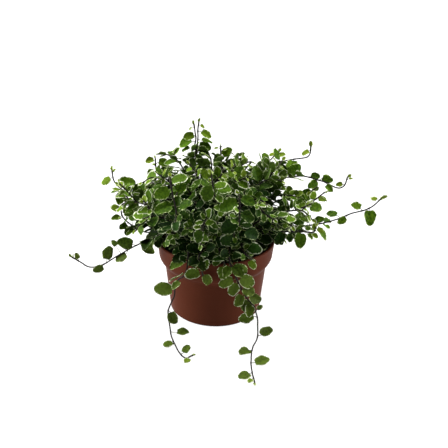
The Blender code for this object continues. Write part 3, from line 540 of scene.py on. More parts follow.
class Stem:
    """A stem or a twig: its route, its thickness and where its leaves stand."""

    def __init__(self, name, points, size, internode, side=1, leaves=(), twig=False):
        self.name = name
        self.route = Route(points)
        self.twig = twig
        self.size = size
        self.side = side
        self.placed = [Placed(*leaf) for leaf in leaves]
        self.places = [self.route.length - leaf.back for leaf in self.placed]
        self.leaves = []
        self.add_places(internode)

    def add_places(self, internode):
        """Leaf places from the last placed leaf, or the tip, back to the bare foot."""
        rng = random.Random(self.name)
        length = self.route.length
        bare = TWIG_BARE if self.twig else length * rng.uniform(*BARE_SHARE)
        s = min(self.places) - internode if self.places else length - FIRST_LEAF
        while s > bare:
            self.places.append(s)
            young = min(1.0, (length - s) / YOUNG_LENGTH)
            s -= internode * (TIP_INTERNODE + (1.0 - TIP_INTERNODE) * young)
            s -= rng.uniform(-INTERNODE_SCATTER, INTERNODE_SCATTER)

    def radius(self, s):
        foot, tip = TWIG_RADII if self.twig else STEM_RADII
        return foot + (tip - foot) * s / self.route.length

    def rings(self, extra=0.0, start=None):
        """The solid's three-cornered rings, each with its length along the stem.

        There is a close pair of rings at each leaf and some between.
        """
        if start is None:
            start = TWIG_START if self.twig else 0.0
        marks = {start, self.route.length - TIP_CONE}
        for s in self.places:
            marks.update((s - JOINT_HALF, s + JOINT_HALF))
        ordered = sorted(marks)
        for low, high in zip(ordered, ordered[1:]):
            steps = int((high - low) / RING_SPACING) + 1
            marks.update(low + (high - low) * k / steps for k in range(1, steps))
        across = Vector((1.0, 0.0, 0.0))
        made = []
        for s in sorted(mark for mark in marks if mark >= start):
            along = self.route.tangent(s) if s else UP
            across = (across - along * across.dot(along)).normalized()
            corner = across * (self.radius(s) + extra)
            turns = [Matrix.Rotation(math.radians(120.0 * k), 3, along) for k in range(3)]
            made.append((s, [self.route.at(s) + turn @ corner for turn in turns]))
        return made

    def surface(self, extra=0.0, start=None):
        """The stem alone, for other stems and for leaves to keep clear of."""
        body = Body()
        rings = self.rings(extra, start)
        last = body.ring(rings[0][1])
        for _, ring in rings[1:]:
            last = body.extend(last, ring)
        body.close(last, self.route.at(self.route.length))
        return body.vertices, body.faces


class Body:
    """A skin that grows ring by ring. Every ring has three corners."""

    def __init__(self):
        self.vertices = []
        self.faces = []

    def ring(self, corners):
        self.vertices.extend(corners)
        return list(range(len(self.vertices) - 3, len(self.vertices)))

    def extend(self, last, corners):
        new = self.ring(corners)
        for k in range(3):
            after = (k + 1) % 3
            self.faces.append((last[k], last[after], new[after]))
            self.faces.append((last[k], new[after], new[k]))
        return new

    def close(self, last, tip):
        self.vertices.append(tip)
        for k in range(3):
            self.faces.append((last[k], last[(k + 1) % 3], len(self.vertices) - 1))


class Shoot:
    """A stem with its twigs. Each of them keeps the leaves that it has been given."""

    def __init__(self, name, stem):
        self.name = name
        self.stems = [stem]
        self.twig_feet = []

    def add_twig(self, twig, foot):
        self.stems.append(twig)
        self.twig_feet.append(foot)


# --- Leaves ---------------------------------------------------------------------------------

class Leaf:
    """A leaf's frame: where its stalk leaves the stem, where the blade starts and how it lies."""

    def __init__(self, foot, stalk_way, stalk, blade_way, normal, length):
        self.foot = foot
        self.stalk_way = stalk_way
        self.base = foot + stalk_way * stalk
        self.normal = normal
        self.way = blade_way
        self.right = normal.cross(blade_way)
        self.across_base = normal.cross(stalk_way + blade_way).normalized()
        self.length = length
        self.width = length * LEAF_WIDTH
        self.tip = self.base + blade_way * length

    def rings(self):
        """Three-cornered rings (keel, right, left) of the stalk's end and the blade."""
        edge = self.across_base * STALK_WIDTH / 2
        made = [[self.base - self.normal * STALK_DEPTH, self.base + edge, self.base - edge]]
        for share, half in LEAF_RINGS:
            middle = self.base + self.way * self.length * share
            made.append([middle - self.normal * LEAF_DEPTH, middle + self.right * half * self.width,
                         middle - self.right * half * self.width])
        return made

    def envelope(self, clear=CLEAR):
        """A closed hull round stalk and blade, larger by clear, for keeping leaves apart."""
        start = self.foot.lerp(self.base, STALK_FREE)
        sections = [(start, 0.5), (self.base, STALK_WIDTH / 2 + clear)]
        for share, half in LEAF_RINGS:
            sections.append((self.base + self.way * self.length * share, half * self.width + clear))
        sections.append((self.tip + self.way * clear, 0.6))
        vertices = []
        for middle, half in sections:
            vertices += [middle + self.right * half, middle + self.normal * clear,
                         middle - self.right * half, middle - self.normal * (LEAF_DEPTH + clear)]
        return vertices, ring_faces(len(sections), 4)

    def surface(self):
        """The stalk and blade as modelled, for later leaves to keep away from."""
        body = Body()
        last = body.ring([self.foot] * 3)
        for corners in self.rings():
            last = body.extend(last, corners)
        body.close(last, self.tip)
        return body.vertices, body.faces


def youth_size(stem, s):
    """How far the leaf at s has grown, from the smallest at the tip to full size."""
    return YOUNGEST_SIZE + (1.0 - YOUNGEST_SIZE) * min(1.0, (stem.route.length - s) / YOUNG_LENGTH)


def scattered(rng, upright):
    """A random vector, with upright as the share of its height."""
    return Vector((rng.gauss(0, 1), rng.gauss(0, 1), rng.gauss(0, upright)))


def side_leaf(foot, along, side, forward, normal, stalk, length):
    """A leaf whose stalk leaves the stem sideways and forward, with its blade nearly in line."""
    stalk_way = (side * math.cos(forward) + along * math.sin(forward)).normalized()
    normal = (normal - stalk_way * normal.dot(stalk_way) * FLATTER).normalized()
    blade_way = (stalk_way - normal * stalk_way.dot(normal)).normalized()
    return Leaf(foot, stalk_way, stalk, blade_way, normal, length)


def free_leaf(stem, number, s, attempt):
    """The leaf at s; each further attempt swings, tilts and shrinks it a little more."""
    rng = random.Random(f"{stem.name} {number} {attempt}")
    foot = stem.route.at(s)
    along = stem.route.tangent(s)
    level = math.sqrt(max(0.0, 1.0 - along.z ** 2))
    scatter = scattered(rng, 0.6) * (0.28 + 0.05 * attempt)
    normal = UP * (0.35 + 0.5 * level) + outward(foot) * (0.75 - 0.2 * level) + scatter
    if foot.z < LOW_LEAF:
        normal = UP + scatter * 0.25
    side = along.cross(normal).normalized() * (-stem.side if number % 2 else stem.side)
    forward = math.radians(rng.uniform(*FORWARD))
    if number == 0:
        forward = math.radians(LAST_FORWARD)
    grown = youth_size(stem, s)
    stalk = STALK * (0.3 + 0.7 * grown)
    length = LEAF_LENGTH * stem.size * grown * rng.uniform(*LEAF_SIZE) * (1.0 - LEAF_SHRINK * attempt)
    return side_leaf(foot, along, side, forward, normal, stalk, length)


def placed_leaf(stem, number, s, attempt):
    """A leaf as it is listed; each further attempt turns it a little."""
    plan = stem.placed[number]
    rng = random.Random(f"{stem.name} {number} {attempt}")
    foot = stem.route.at(s)
    along = stem.route.tangent(s)
    seen_from = FRONT + UP
    axis = (seen_from - along * seen_from.dot(along)).normalized()
    swing = rng.uniform(-PLACED_SWING, PLACED_SWING) * attempt
    lift = rng.uniform(*PLACED_LIFT) * attempt
    stalk_way = Matrix.Rotation(math.radians(plan.stalk_turn + swing), 3, axis) @ along
    way = (Matrix.Rotation(math.radians(plan.turn + swing), 3, axis) @ along) + axis * lift
    if foot.z < LOW_LEAF:
        stalk_way.z = max(stalk_way.z, LOW_LEAF_RISE)
        way.z = max(way.z, LOW_LEAF_RISE)
    stalk_way.normalize()
    way.normalize()
    facing = math.radians(plan.facing)
    normal = UP * math.cos(facing) + FRONT * math.sin(facing)
    normal = (normal - way * normal.dot(way)).normalized()
    length = plan.length * (1.0 - PLACED_SHRINK * attempt)
    return Leaf(foot, stalk_way, plan.stalk, way, normal, length)


# --- Plant ----------------------------------------------------------------------------------

def tree_of(surfaces):
    """One search tree over several surfaces, each given as its vertices and faces."""
    vertices = []
    faces = []
    for surface_vertices, surface_faces in surfaces:
        start = len(vertices)
        vertices += [Vector(v) for v in surface_vertices]
        faces += [tuple(start + index for index in face) for face in surface_faces]
    return BVHTree.FromPolygons(vertices, faces)


def box_surface(low, high):
    corners = [Vector((x, y, z)) for z in (low[2], high[2]) for y in (low[1], high[1])
               for x in (low[0], high[0])]
    return corners, [(0, 1, 3, 2), (4, 5, 7, 6), (0, 1, 5, 4), (2, 3, 7, 6), (0, 2, 6, 4), (1, 3, 7, 5)]


def held_clear():
    """The surfaces that nothing may touch: the pot, the soil and the gaps for water."""
    pot = turned(outer_wall() + inner_wall(), POT_SIDES)
    soil = turned([(0.1, SOIL_TOP), (SHOULDER_RADIUS - WALL, SOIL_TOP)], POT_SIDES)
    return [pot, soil] + [box_surface(*gap) for gap in WATERING_GAPS]


class Crown:
    """All that is in place, so that each new stem or leaf can be tried against it."""

    def __init__(self):
        self.surfaces = held_clear()
        self.fixed = tree_of(self.surfaces)
        self.leaves = []

    def add_stem(self, stem):
        self.surfaces.append(stem.surface())
        self.fixed = tree_of(self.surfaces)

    def takes_stem(self, stem):
        start = TWIG_FREE if stem.twig else None
        return not tree_of([stem.surface(STEM_CLEAR, start)]).overlap(self.fixed)

    def takes_leaf(self, leaf, clear=CLEAR):
        """True if the leaf touches nothing, and then it is in place."""
        vertices, faces = leaf.envelope(clear)
        if min(v.z for v in vertices) < GAP:
            return False
        envelope = BVHTree.FromPolygons(vertices, faces)
        if envelope.overlap(self.fixed):
            return False
        middle = (leaf.foot + leaf.tip) / 2
        reach = (leaf.tip - leaf.foot).length / 2 + NEAR
        for where, far, tree in self.leaves:
            if (middle - where).length < reach + far and envelope.overlap(tree):
                return False
        self.leaves.append((middle, reach, tree_of([leaf.surface()])))
        return True


def chosen_shoots(crown):
    """The shoots whose routes are chosen one by one, with their twigs."""
    shoots = []
    for plan in CHOSEN_SHOOTS:
        route = [Vector((*plan.root, SOIL_TOP + GAP))] + [Vector(point) for point in plan.points]
        stem = Stem(plan.name, route, plan.size, plan.internode, plan.side, plan.leaves)
        shoot = Shoot(plan.name, stem)
        crown.add_stem(stem)
        for number, twig_plan in enumerate(plan.twigs):
            foot = stem.places[twig_plan.joint]
            points = [stem.route.at(foot)] + [Vector(point) for point in twig_plan.points]
            twig = Stem(f"{plan.name} twig {number}", points, plan.size, TWIG_INTERNODE,
                        leaves=twig_plan.leaves, twig=True)
            shoot.add_twig(twig, foot)
            crown.add_stem(twig)
        shoots.append(shoot)
    return shoots


def dome_shoots(tier, crown):
    """The shoots of one tier, each on the first tried route that touches nothing."""
    shoots = []
    for number in range(tier.count):
        for attempt in range(DOME_TRIES):
            name = f"{tier.name}_{number + 1:02d}"
            rng = random.Random(f"{name} {attempt}")
            points = dome_points(tier, number, rng)
            stem = Stem(name, points, rng.uniform(*DOME_LEAF_SIZE), DOME_INTERNODE)
            if crown.takes_stem(stem):
                shoots.append(Shoot(name, stem))
                crown.add_stem(stem)
                break
    return shoots


def add_dome_twigs(shoot, wanted, crown):
    """Give the shoot up to the wanted number of twigs, each beside one of its middle leaves."""
    main = shoot.stems[0]
    low, high = (share * main.route.length for share in TWIG_FEET)
    joints = [s for s in main.places if low < s < high]
    for number in range(wanted):
        for attempt in range(TWIG_TRIES):
            name = f"{shoot.name} twig {number}"
            rng = random.Random(f"{name} {attempt}")
            foot = rng.choice(joints)
            points = twig_points(main.route.at(foot), main.route.tangent(foot), rng)
            twig = Stem(name, points, main.size * TWIG_SIZE, TWIG_INTERNODE, twig=True)
            if foot not in shoot.twig_feet and crown.takes_stem(twig):
                shoot.add_twig(twig, foot)
                crown.add_stem(twig)
                break


def plan_plant(crown):
    """All shoots with their twigs, still without leaves."""
    shoots = chosen_shoots(crown)
    tiers = [(tier, dome_shoots(tier, crown)) for tier in DOME_TIERS]
    for tier, members in tiers:
        for shoot in members:
            add_dome_twigs(shoot, tier.twigs, crown)
        shoots += members
    return shoots


def all_stems(shoots):
    return [stem for shoot in shoots for stem in shoot.stems]


def settle_leaf(crown, stem, make_leaf, number, s, tries=LEAF_TRIES, clear=CLEAR):
    """Give the stem the first leaf of several tried ones that touches nothing."""
    attempts = (make_leaf(stem, number, s, attempt) for attempt in range(tries))
    leaf = next((leaf for leaf in attempts if crown.takes_leaf(leaf, clear)), None)
    if leaf:
        stem.leaves.append((s, leaf))


def settle_leaves(shoots, crown):
    """Give every stem the leaves of its solid, first the listed ones."""
    for make_leaf in (placed_leaf, free_leaf):
        for stem in all_stems(shoots):
            for number, s in enumerate(stem.places):
                if (number < len(stem.placed)) == (make_leaf is placed_leaf):
                    settle_leaf(crown, stem, make_leaf, number, s)


# --- Leaves that only the looks have --------------------------------------------------------

def fill_leaf(stem, number, s, attempt):
    """A leaf between those of the solids, on a side of its own and facing any way."""
    rng = random.Random(f"{stem.name} fill {number} {attempt}")
    foot = stem.route.at(s)
    along = stem.route.tangent(s)
    scatter = scattered(rng, 0.6) * (0.3 + 0.05 * attempt)
    normal = UP * 0.75 + outward(foot) * 0.55 + scatter
    side = along.cross(normal).normalized() * rng.choice((-1.0, 1.0))
    forward = math.radians(rng.uniform(*FILL_FORWARD))
    grown = youth_size(stem, s)
    size = rng.uniform(*FILL_SIZE) * (1.0 - FILL_SHRINK * attempt)
    stalk = STALK * grown * rng.uniform(*FILL_STALK)
    return side_leaf(foot, along, side, forward, normal, stalk, LEAF_LENGTH * stem.size * grown * size)


def bud_leaf(stem, number, s, attempt):
    """One of the small folded leaves that end a shoot."""
    rng = random.Random(f"{stem.name} bud {number} {attempt}")
    foot = stem.route.at(s)
    along = stem.route.tangent(s)
    around = Matrix.Rotation(rng.uniform(0.0, 2.0 * math.pi), 3, along)
    lean = math.radians(rng.uniform(*BUD_LEAN[number]))
    way = along * math.cos(lean) + (around @ along.orthogonal().normalized()) * math.sin(lean)
    normal = UP * 0.7 + outward(foot) * 0.4 + FRONT * 0.3 + scattered(rng, 1) * 0.4
    normal = (normal - way * normal.dot(way)).normalized()
    return Leaf(foot, way, rng.uniform(*BUD_STALK), way, normal, rng.uniform(*BUD_LENGTH) * stem.size)


def dome_depth(point):
    """1 at the middle of the soil, 0 at the dome's skin and negative outside it.

    Beside the pot, below the dome, it is FILL_OUTSIDE.
    """
    if point.z < RIM_CLEAR and math.hypot(point.x, point.y) > SHOULDER_RADIUS - WALL:
        return FILL_OUTSIDE
    reach_x, reach_y, reach_z = DOME_SIZE
    return 1.0 - Vector((point.x / reach_x, point.y / reach_y, (point.z - SOIL_TOP) / reach_z)).length


def fill_places(stem):
    """Places along the stem, as far as it lies in the dome, away from its other leaves."""
    taken = [s for s, _ in stem.leaves]
    places = []
    s = FILL_LOWEST
    number = 0
    while s < stem.route.length - FILL_END:
        apart = all(abs(s - other) > FILL_APART for other in taken)
        if apart and dome_depth(stem.route.at(s)) > FILL_OUTSIDE:
            places.append((number, s))
        number += 1
        s += FILL_STEP
    return places


def settle_buds(shoots, crown):
    """Give every stem and twig its folded leaves."""
    for stem in all_stems(shoots):
        for number, back in enumerate(BUD_BACK):
            settle_leaf(crown, stem, bud_leaf, number, stem.route.length - back, FILL_TRIES, BUD_CLEAR)


def settle_fill(shoots, crown):
    """Fill the stems up with smaller leaves."""
    for stem in all_stems(shoots):
        for number, s in fill_places(stem):
            settle_leaf(crown, stem, fill_leaf, number, s, FILL_TRIES, FILL_CLEAR)


# --- Fine meshes ----------------------------------------------------------------------------

def add_piece(name, mesh, node, surfaces, sharp):
    """Show the mesh in place of one node, with edges over the sharp angle kept sharp."""
    for surface in surfaces:
        mesh.materials.append(surface)
    mesh.shade_smooth()
    mesh.set_sharp_from_angle(angle=math.radians(sharp))
    made = bpy.data.objects.new(name, mesh)
    bpy.context.scene.collection.objects.link(made)
    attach(made, "root")
    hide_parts(node)


class Growth:
    """Gathers the stem, stalks and blades of one shoot.

    Each vertex has a mark (way in from the blade's edge, age, the leaf's own number) and a place
    for its surface's patterns. On blades the age also carries their painted shade.
    """

    def __init__(self):
        self.vertices = []
        self.faces = []
        self.materials = []
        self.marks = []
        self.places = []
        self.count = 0

    def add(self, vertices, faces, material, marks, places):
        self.vertices.append(np.asarray(vertices, dtype=np.float64))
        self.faces += [tuple(self.count + index for index in face) for face in faces]
        self.materials += [material] * len(faces)
        self.marks.append(np.asarray(marks, dtype=np.float64))
        self.places.append(np.asarray(places, dtype=np.float64))
        self.count += len(vertices)

    def mesh(self, name):
        mesh = bpy.data.meshes.new(name)
        mesh.from_pydata((np.concatenate(self.vertices) * MM).tolist(), [], self.faces)
        mesh.polygons.foreach_set("material_index", self.materials)
        for label, values in (("mark", self.marks), ("place", self.places)):
            layer = mesh.attributes.new(label, "FLOAT_VECTOR", "POINT")
            layer.data.foreach_set("vector", np.concatenate(values).astype(np.float32).ravel())
        return mesh


def tube(centres, radii, sides):
    """Vertices and faces of a closed round tube along the given centres."""
    vertices = []
    across = (centres[1] - centres[0]).orthogonal()
    for k, (centre, radius) in enumerate(zip(centres, radii)):
        before = centres[max(k - 1, 0)]
        after = centres[min(k + 1, len(centres) - 1)]
        along = (after - before).normalized()
        across = (across - along * across.dot(along)).normalized()
        other = along.cross(across)
        for j in range(sides):
            turn = 2.0 * math.pi * j / sides
            vertices.append(centre + (across * math.cos(turn) + other * math.sin(turn)) * radius)
    return vertices, ring_faces(len(centres), sides)


def blade_outline():
    """Shares of width and length of the leaf's edge, and of length on the midrib, row by row."""
    turn = np.pi * np.arange(LEAF_ROWS + 1) / LEAF_ROWS
    half = np.sin(turn) ** BLUNTNESS * (1.0 + FOOT_WIDENING * np.cos(turn))
    half /= half.max()
    lobe = LOBE * np.exp(-((turn - LOBE_PLACE) / LOBE_SPREAD) ** 2)
    edge = (1.0 - np.cos(turn)) / 2.0 - lobe
    rib = ((1.0 - np.cos(turn)) / 2.0) ** RIB_SPACING
    half[0] = half[-1] = 0.0
    edge[0] = 0.0
    return half[:, None], edge[:, None], rib[:, None]


def blade_faces():
    """Faces of a blade's upper sheet, lower sheet and rim, for vertices in the order of sheet."""
    columns = len(LEAF_ACROSS)
    size = (LEAF_ROWS - 1) * columns + 2

    def point(row, column, low):
        if row == 0:
            return low * size
        if row == LEAF_ROWS:
            return low * size + 1
        return low * size + 2 + (row - 1) * columns + column

    faces = []
    for row in range(LEAF_ROWS):
        for column in range(columns - 1):
            for low in (0, 1):
                corners = [point(row, column, low), point(row, column + 1, low),
                           point(row + 1, column + 1, low), point(row + 1, column, low)]
                face = tuple(dict.fromkeys(corners))
                faces.append(face[::-1] if low else face)
        for column, start, end in ((0, row, row + 1), (columns - 1, row + 1, row)):
            faces.append((point(start, column, 0), point(end, column, 0),
                          point(end, column, 1), point(start, column, 1)))
    return faces


OUTLINE_HALF, OUTLINE_EDGE, RIB = blade_outline()
BLADE_FACES = blade_faces()
BLADE_ROWS = np.linspace(0.0, 1.0, LEAF_ROWS + 1)[:, None]
SIDE, AWAY = np.sign(LEAF_ACROSS)[None, :], np.abs(LEAF_ACROSS)[None, :]


def blade_plan(leaf, rng):
    """x across and y along the blade, seen from above: an uneven, slightly skew outline."""
    skew = 1.0 + rng.uniform(-SKEW, SKEW) * SIDE
    uneven = np.zeros((LEAF_ROWS + 1, len(LEAF_ACROSS)))
    for turns, depth in EDGE_WAVES:
        phase = rng.uniform(0.0, PHASE) + rng.uniform(*EDGE_LAG) * SIDE
        uneven += depth * np.sin(2.0 * np.pi * turns * BLADE_ROWS + phase)
    x = LEAF_ACROSS[None, :] * OUTLINE_HALF * leaf.width / 2.0 * skew * (1.0 + uneven * AWAY ** 2)
    y = leaf.length * (RIB + (OUTLINE_EDGE - RIB) * AWAY ** EDGE_BOW)
    return x + rng.uniform(-SWAY, SWAY) * leaf.width * (y / leaf.length) ** 2, y


def blade_heights(leaf, y, rng):
    """Heights of the upper and the lower sheet over the blade's plane."""
    cup = rng.uniform(*CUP) * leaf.width
    fold = rng.uniform(*FOLD) * leaf.width
    curl = rng.uniform(*CURL) * leaf.length
    wave = rng.uniform(*WAVE_DEPTH) * leaf.width
    phase = rng.uniform(0.0, PHASE)
    waves = rng.uniform(*WAVE_COUNT)
    z = (cup * AWAY ** 2 + fold * AWAY) * OUTLINE_HALF - curl * (y / leaf.length) ** 2
    z += wave * AWAY ** 2 * np.sin(2.0 * np.pi * waves * BLADE_ROWS + phase + WAVE_LAG * SIDE)
    fields = np.abs(np.sin(np.pi * FIELD_COUNT * BLADE_ROWS ** FIELD_SPACING)) * np.sin(np.pi * AWAY)
    z += FIELD_RISE * leaf.width * fields * OUTLINE_HALF
    groove = np.exp(-(AWAY / GROOVE_WIDTH) ** 2) * GROOVE_DEPTH * OUTLINE_HALF
    thick = LEAF_HALF_THICKNESS * (1.0 - EDGE_THINNING * AWAY)
    return z + thick - groove, z - thick - groove * RIB_BELOW


def way_in(x, y):
    """How far each point of the blade is from its edge. The stalk's end doesn't count as edge."""
    points = np.stack([x, y], axis=2)
    rim = np.concatenate([points[2:, 0], points[2:, -1]])
    return np.sqrt(((points[:, :, None, :] - rim) ** 2).sum(axis=3)).min(axis=2)


def sheet(*layers):
    """One row of values per vertex: the blade's foot, its tip and then the grid between."""
    grid = np.stack(layers, axis=2)
    middle = len(LEAF_ACROSS) // 2
    return np.concatenate([grid[:1, middle], grid[-1:, middle], grid[1:-1].reshape(-1, len(layers))])


def blade_mesh(leaf, age, rng):
    """A thin two-sided blade with a grooved midrib, raised fields, a curl and a wavy edge."""
    x, y = blade_plan(leaf, rng)
    edge = way_in(x, y)
    upper, lower = (sheet(x, y, z, edge) for z in blade_heights(leaf, y, rng))
    points = np.concatenate([upper, lower])
    axes = np.array([leaf.way.cross(leaf.normal), leaf.way, leaf.normal])
    vertices = np.array(leaf.base) + points[:, :3] @ axes
    own = rng.random()
    # age holds the leaf's youth less its painted shade.
    marks = np.full((len(points), 3), (0.0, age, own))
    marks[:, 0] = points[:, 3]
    places = np.zeros((len(points), 3))
    places[:, :2] = points[:, :2] + np.array(PATTERN_STEPS) * (own, rng.random())
    places[len(upper):, 2] = 1.0
    return vertices, marks, places


def stalk_mesh(leaf):
    """A leaf stalk that bends from its way off the stem into the line of the blade."""
    along, below = STALK_END
    end = leaf.base + leaf.way * along - leaf.normal * below
    along, below = STALK_BEND
    bend = leaf.foot + leaf.stalk_way * (leaf.base - leaf.foot).length * along - leaf.normal * below
    centres = []
    for k in range(len(STALK_RADII)):
        t = k / (len(STALK_RADII) - 1)
        centres.append(leaf.foot * (1 - t) ** 2 + bend * 2 * t * (1 - t) + end * t ** 2)
    size = STALK_SIZE[0] + STALK_SIZE[1] * leaf.length
    return tube(centres, [radius * size for radius in STALK_RADII], STALK_SIDES)


def stem_mesh(stem):
    """The stem or twig, with a swelling at each leaf and a slight zigzag between them.

    The third result is the age of each vertex: 1 at the growing tip, and 0 where it is bark.
    """
    length = stem.route.length
    joints = [s for s, _ in stem.leaves]
    foot = stem.route.at(0.0)
    start = foot if stem.twig else foot - UP * ROOT_DEPTH
    sections = [(start, max(stem.radius(0.0), THINNEST_STEM), 0.0)]
    steps = int(length / STEM_STEP)
    for k in range(1 if stem.twig else 0, steps + 1):
        s = length * k / steps
        centre = stem.route.at(s)
        near = min((abs(s - joint) for joint in joints), default=length)
        radius = max(stem.radius(s) * STEM_SHARE, THINNEST_STEM)
        radius *= 1.0 + SWELLING * math.exp(-(near / SWELLING_REACH) ** 2)
        radius *= 1.0 + UNEVENNESS * noise.noise(centre * UNEVEN_PACE)
        centre = centre + noise.noise_vector(centre * ZIGZAG_PACE) * ZIGZAG
        sections.append((centre, radius, max(0.0, 1.0 - (length - s) / YOUNG_STEM)))
    tip = stem.route.tangent(length)
    for reach, share in STEM_END:
        sections.append((sections[-1][0] + tip * reach, THINNEST_STEM * share, 1.0))
    centres, radii, ages = zip(*sections)
    vertices, faces = tube(centres, radii, STEM_SIDES)
    return vertices, faces, [age for age in ages for k in range(STEM_SIDES)]


def clamped(value):
    return min(1.0, max(0.0, value))


def leaf_youth_and_shade(stem, s, leaf):
    """1 for a small young leaf at a tip, 0 for a grown one, and down to -1 for one given painted shade:
    low, deep inside, at the front or beside the pot under the rim.
    """
    young = clamped(1.0 - (stem.route.length - s) / YOUNG_LENGTH)
    young *= clamped((YOUNG_BELOW - leaf.length) / YOUNG_SPREAD)
    middle = (leaf.base + leaf.tip) / 2
    depth = dome_depth(middle)
    # Beside the pot under the rim a leaf gets a fixed painted shade.
    if depth == FILL_OUTSIDE:
        return young - BESIDE_POT_SHADE
    # low is painted shade: stronger lower down, deeper in the dome and at the front, weaker at the sides.
    low = (SHADE_BELOW - middle.z) / SHADE_SPREAD * (1.0 + depth / SKIN_DEPTH)
    low += FRONT_SHADE * clamped((-middle.y - FRONT_START) / FRONT_START)
    low *= 1.0 - SIDE_SHADE_CUT * clamped((abs(middle.x) - SIDE_START) / SIDE_START)
    # The darkening is mostly painted shade, with a little of the deeper green of older leaves.
    return young - clamped(max(depth / SHADE_DEPTH, low))


STEM, STALKS, BLADES = 0, 1, 2


def grow(shoot, surfaces):
    """Build one shoot with all its leaves as one piece."""
    growth = Growth()
    for stem in shoot.stems:
        vertices, faces, ages = stem_mesh(stem)
        growth.add(vertices, faces, STEM, [(0.0, age, 0.0) for age in ages], vertices)
        for number, (s, leaf) in enumerate(stem.leaves):
            rng = random.Random(f"{stem.name} blade {number}")
            vertices, faces = stalk_mesh(leaf)
            growth.add(vertices, faces, STALKS, np.zeros((len(vertices), 3)), vertices)
            vertices, marks, places = blade_mesh(leaf, leaf_youth_and_shade(stem, s, leaf), rng)
            growth.add(vertices, BLADE_FACES, BLADES, marks, places)
    name = f"{shoot.name}_plant"
    add_piece(name, growth.mesh(name), shoot.name, surfaces, sharp=55.0)


# --- Materials ------------------------------------------------------------------------------

class Nodes:
    """Short ways to add shader nodes. A value is a number, a colour or another node's output."""

    def __init__(self, name):
        self.material = bpy.data.materials.new(name)
        self.material.use_nodes = True
        self.tree = self.material.node_tree
        self.shader = self.tree.nodes["Principled BSDF"]

    def put(self, value, target):
        """Set an input to the value, or link the value to it."""
        if isinstance(value, (int, float)):
            target.default_value = value
        elif isinstance(value, tuple):
            target.default_value = (*value, 1.0)
        else:
            self.tree.links.new(value, target)

    def add(self, kind, inputs=(), **settings):
        """A new node's outputs. Inputs are pairs of an input's name or number and its value."""
        node = self.tree.nodes.new(f"ShaderNode{kind}")
        for key, value in settings.items():
            setattr(node, key, value)
        for key, value in inputs:
            self.put(value, node.inputs[key])
        return node.outputs

    def attribute(self, name):
        return self.add("Attribute", attribute_name=name)["Vector"]

    def position(self):
        return self.add("TexCoord")["Object"]

    def split(self, vector):
        return self.add("SeparateXYZ", [(0, vector)])

    def noise(self, vector, scale, detail=3.0, roughness=0.55):
        return self.add("TexNoise", [("Vector", vector), ("Scale", scale), ("Detail", detail),
                                     ("Roughness", roughness)])["Fac"]

    def span(self, value, low, high, to_low=0.0, to_high=1.0, smooth=False):
        return self.add("MapRange", [("Value", value), ("From Min", low), ("From Max", high),
                                     ("To Min", to_low), ("To Max", to_high)],
                        interpolation_type="SMOOTHSTEP" if smooth else "LINEAR")["Result"]

    def math(self, operation, first, second):
        return self.add("Math", [(0, first), (1, second)], operation=operation)[0]

    def mix(self, share, first, second):
        return self.add("Mix", [("Factor", share), ("A", first), ("B", second)],
                        data_type="RGBA")["Result"]

    def bump(self, height, distance, strength=0.8):
        return self.add("Bump", [("Height", height), ("Distance", distance),
                                 ("Strength", strength)])["Normal"]

    def finish(self, base, rough, specular, normal=None):
        """The material, with the shader's inputs set. A plain number is set on its own socket."""
        for key, value in (("Base Color", base), ("Roughness", rough), ("Specular IOR Level", specular)):
            self.put(value, self.shader.inputs[key])
        if normal is not None:
            self.put(normal, self.shader.inputs["Normal"])
        return self.material


